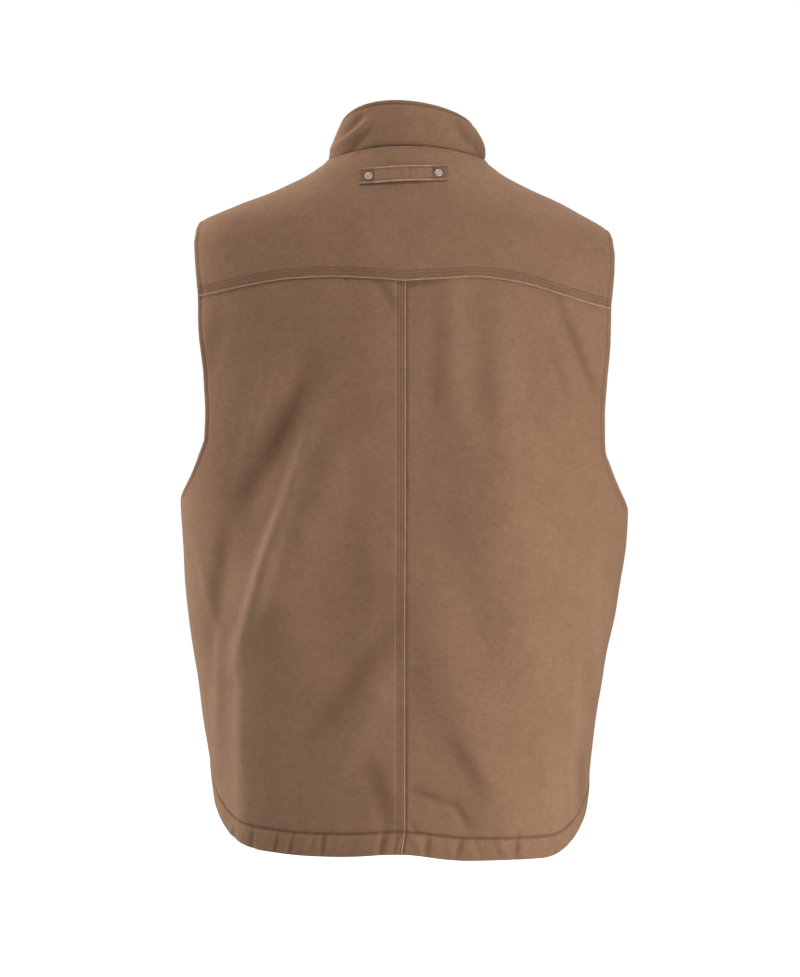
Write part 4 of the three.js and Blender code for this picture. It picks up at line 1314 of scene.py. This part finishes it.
def hanger_loop():
    columns = 2 * spaced(2 * LOOP_HALF, PLAIN_MARKS, LOOP_STEP) - 1
    rows = spaced(LOOP_WIDTH, LOOP_MARKS, LOOP_ROW_STEP)
    along, across = np.meshgrid(columns, rows)
    level = LOOP_Z + LOOP_TILT * along + LOOP_WIDTH * (across - 0.5)
    turn = turn_at(LOOP_X + LOOP_HALF * along, level)
    base = body(turn, level)
    normal = outward(body, turn, level)
    reach = along * LOOP_HALF
    from_end = 1 - np.abs(along)
    from_edge = LOOP_WIDTH * np.minimum(across, 1 - across)
    lift = 2 * SEAM_GAP + CLOTH + LOOP_WALL + LOOP_BOW * smooth(from_end, 0.3, 0.85)
    lift = lift + ridge(from_edge, LOOP_ROLL) + ridge(from_edge, LOOP_GROOVE)
    lift = lift + pucker("loop", reach) * smooth(from_edge, 1.5, 5)
    spots = [body(turn_at(x, z), z) for _, x, z in RIVETS]
    from_rivet = np.minimum.reduce([np.linalg.norm(base - spot, axis=-1) for spot in spots])
    ends = smooth(np.abs(along) * LOOP_HALF, LOOP_HALF - 15.5, LOOP_HALF - 14.5)
    # Painted shade along the loop's stitch rows; the bartacked ends are darker and so is a ring around each
    # rivet
    stitch_marks_and_shade = ridge(from_edge, LOOP_SHADE) + 0.5 * ends * smooth(from_edge, 0.8, 2)
    shades = {
        "wear_and_highlight": ridge(from_edge, LOOP_WEAR) * (0.4 + 0.6 * smooth(from_end, 0.3, 0.38)),
        "stitch_marks_and_shade": stitch_marks_and_shade + 0.4 * bell(np.maximum(0, from_rivet - 4.5), 1.5),
    }
    run = np.where(ends > 0, STITCH_PITCH / 4, reach)
    weave = (across * LOOP_WIDTH, reach)
    cloth, skin = cloth_piece("loop_cloth", LOOP_CANVAS, base, normal, lift, LOOP_WALL, weave, run, shades)

    def on_loop(u, v):
        i = np.interp(v, rows, np.arange(len(rows)))
        j = np.interp(u, columns, np.arange(len(columns)))
        nearest = (np.round(i).astype(int), np.round(j).astype(int))
        return [grid[nearest] for grid in skin]

    u = np.linspace(-0.97, 0.97, 240)
    beads = [stitches(*on_loop(u, np.full_like(u, v)), **LOOP_BEAD) for v in LOOP_ROWS]
    share = np.linspace(0, 1, 60)
    for _, x, _ in RIVETS:
        middle = (x - LOOP_X) / LOOP_HALF
        for u0, v0, u1, v1 in TACKS:
            path = on_loop(middle + lerp(u0, u1, share), lerp(v0, v1, share))
            beads.append(stitches(*path, **TACK_BEAD))
    return cloth, stitch_object("loop_stitching", beads, THREAD)


def rivet(name, x, z):
    """Pressed rivet with a rolled rim and a dimple in its cap"""
    turn = turn_at(x, z)
    spot = body(turn, z)
    axis = unit(outward(body, turn, z) + np.array([0, -RIVET_NOD, 0]))
    base = 2 * SEAM_GAP + CLOTH + LOOP_WALL
    profile = RIVET_BURR_PROFILE + [(radius, base + height) for radius, height in RIVET_CAP_PROFILE]
    across = unit(np.cross(axis, np.array([0.0, 0.0, 1.0])))
    up = np.cross(across, axis)
    vertices = []
    rings = []
    for radius, height in profile:
        rings.append(len(vertices))
        if radius == 0:
            vertices.append(spot + axis * height)
            continue
        for k in range(RIVET_SIDES):
            angle = 2 * math.pi * k / RIVET_SIDES
            out = across * math.cos(angle) + up * math.sin(angle)
            vertices.append(spot + axis * height + out * radius)
    faces = []
    last = len(profile) - 1
    for k in range(last):
        a = rings[k]
        b = rings[k + 1]
        for i in range(RIVET_SIDES):
            j = (i + 1) % RIVET_SIDES
            if k == 0:
                faces.append((a, b + j, b + i))
            elif k == last - 1:
                faces.append((a + i, a + j, b))
            else:
                faces.append((a + i, a + j, b + j, b + i))
    return make_object(name + "_cap", np.array(vertices), faces, METAL)


# Zip

def zip_piece():
    """Closed zip behind the front edges: a flat tape and a row of teeth"""
    level = lerp(HEM_FRONT + ZIP_END, ZIP_TOP, np.arange(ZIP_STEPS + 1) / ZIP_STEPS)
    turn = np.full_like(level, math.pi)
    behind_hem = 1 - smooth(level - HEM_FRONT, HEM + 2, HEM + 12)
    seat = CLOTH + ZIP_SEAT + ZIP_HEM_SEAT * behind_hem
    low = body(turn, level) - outward(body, turn, level) * seat[:, None]
    height = ZIP_COLLAR_TOP * np.arange(1, ZIP_COLLAR_STEPS + 1) / ZIP_COLLAR_STEPS
    collar_turn = np.full_like(height, math.pi)
    out = outward(collar_point, collar_turn, height, COLLAR_PROBE)
    high = collar_point(collar_turn, height) - out * (COLLAR_CLOTH + ZIP_COLLAR_SEAT)
    points = np.concatenate([low, high])
    sides = np.concatenate([outward(smooth_body, turn, level), out])
    across = np.array([1.0, 0, 0])
    vertices = np.stack([points + across * x + sides * off for x, off in ZIP_TAPE], 1).reshape(-1, 3)
    faces = tube_faces(len(points), len(ZIP_TAPE))
    tape = make_object("zip_tape", vertices, faces, ZIP_TAPE_MATERIAL, False)
    path = points + sides * TOOTH_OUT
    turned = np.cross(sides, unit(np.gradient(path, axis=0)))
    teeth = [
        stitches(path[start:] + across * shift, turned[start:], **TOOTH) for shift, start in TOOTH_ROWS
    ]
    return tape, stitch_object("zip_chain", teeth, ZIP_CHAIN_MATERIAL)


# Assembly

def fit(piece, slot, *nodes):
    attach(piece, "root")
    if nodes:
        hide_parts(*nodes)
    return piece


SHEETS = [
    # cloth and stitching, node, slot, width, length, area, rests on
    (yoke(), "yoke", "canvas", 0.50, 0.22, 0.085, ["collar"]),
    (back_panel(-1), "back_panel_left", "canvas", 0.27, 0.59, 0.142, ["yoke"]),
    (back_panel(1), "back_panel_right", "canvas", 0.28, 0.59, 0.147, ["yoke"]),
    (front_panel(-1), "front_panel_left", "canvas", 0.29, 0.61, 0.147, ["yoke"]),
    (front_panel(1), "front_panel_right", "canvas", 0.29, 0.61, 0.147, ["yoke"]),
    (collar(), "collar", "canvas", 0.46, 0.06, 0.0225, ["yoke"]),
    (hanger_loop(), "hanger_loop", "canvas_light", 0.09, 0.02, 0.0018, ["yoke"]),
]
for (cloth, thread), node, slot, width, length, area, below in SHEETS:
    fit(cloth, slot, node)
    fit(thread, "canvas_light")
zip_tape, zip_chain = zip_piece()
fit(zip_tape, "zip", "front_zip")
fit(zip_chain, "zip")
for node, x, z in RIVETS:
    fit(rivet(node, x, z), "metal", node)


# Floor, light and camera

FLOOR_Z = -1.02
FLOOR_RADIUS = 7.0
FLOOR_SIDES = 96
WHITE = (1, 1, 1, 1)


def stage_floor():
    material, tree, shader, place = new_material("floor")
    tone = ramp(tree, noise(tree, place, 3.0, 2.0), 0.3, 0.7)
    looks = {
        "Base Color": mix_colour(tree, tone, (0.9, 0.9, 0.9, 1), (0.92, 0.92, 0.92, 1)),
        "Roughness": 0.9,
        "Emission Color": WHITE,
        "Emission Strength": 0.9,
    }
    plug(tree, shader, looks)
    angles = 2 * math.pi * np.arange(FLOOR_SIDES) / FLOOR_SIDES
    level = np.full_like(angles, FLOOR_Z)
    corners = np.stack([FLOOR_RADIUS * np.cos(angles), FLOOR_RADIUS * np.sin(angles), level], 1)
    floor = make_object("floor", corners / MM, [tuple(range(FLOOR_SIDES))], material, False)
    floor.visible_diffuse = False
    return floor


LIGHTS = [
    # name, x, y, z, width, height, power
    ("key_right", 1.8, -1.2, -0.6, 1.1, 0.7, 24),
    ("low_right", 0.95, -1.05, -0.8, 0.6, 0.36, 9.5),
    ("key_left", -2.05, 0.35, -0.62, 1.1, 0.7, 40),
    ("top", -0.7, -0.9, 2.1, 1.8, 1.2, 34),
    ("rim", -0.2, 0.7, 1.7, 1.8, 0.6, 26),
    ("front_fill", 0.0, 2.6, 0.6, 2.4, 1.6, 45),
]
AIM = (0, -0.05, -0.36)


def add_light(name, x, y, z, width, height, power):
    data = bpy.data.lights.new(name, "AREA")
    data.shape = "RECTANGLE"
    data.size = width
    data.size_y = height
    data.energy = power
    lamp = link_object(name, data)
    lamp.location = (x, y, z)
    run = np.array(AIM) - np.array((x, y, z))
    tip = math.acos(-run[2] / np.linalg.norm(run))
    lamp.rotation_euler = (tip, 0, math.atan2(run[1], run[0]) - RIGHT_ANGLE)


stage_floor()
for light in LIGHTS:
    add_light(*light)

AMBIENT = 0.2
world = bpy.data.worlds.new("studio")
world.use_nodes = True
bpy.context.scene.world = world
sky = world.node_tree
ambient = sky.nodes["Background"]
plug(sky, ambient, {"Color": WHITE, "Strength": AMBIENT})
seen = add_node(sky, "ShaderNodeBackground", {"Color": WHITE, "Strength": 1.0})
ray = add_node(sky, "ShaderNodeLightPath", {}).outputs["Is Camera Ray"]
both = add_node(sky, "ShaderNodeMixShader", {0: ray, 1: ambient.outputs[0], 2: seen.outputs[0]})
plug(sky, sky.nodes["World Output"], {"Surface": both.outputs[0]})

bpy.context.scene.view_settings.view_transform = "Standard"

camera_data = bpy.data.cameras.new("photo_camera")
camera_data.sensor_fit = "HORIZONTAL"
camera_data.sensor_width = SENSOR_MM
camera_data.lens = SENSOR_MM * CAMERA_AWAY / PHOTO_WIDTH
camera_data.clip_end = 100
camera = link_object("photo_camera", camera_data)
camera.location = (CAMERA_X * MM, -CAMERA_AWAY * MM, CAMERA_Z * MM)
camera.rotation_euler = (RIGHT_ANGLE, 0, 0)
bpy.context.scene.camera = camera

bpy.context.view_layer.update()
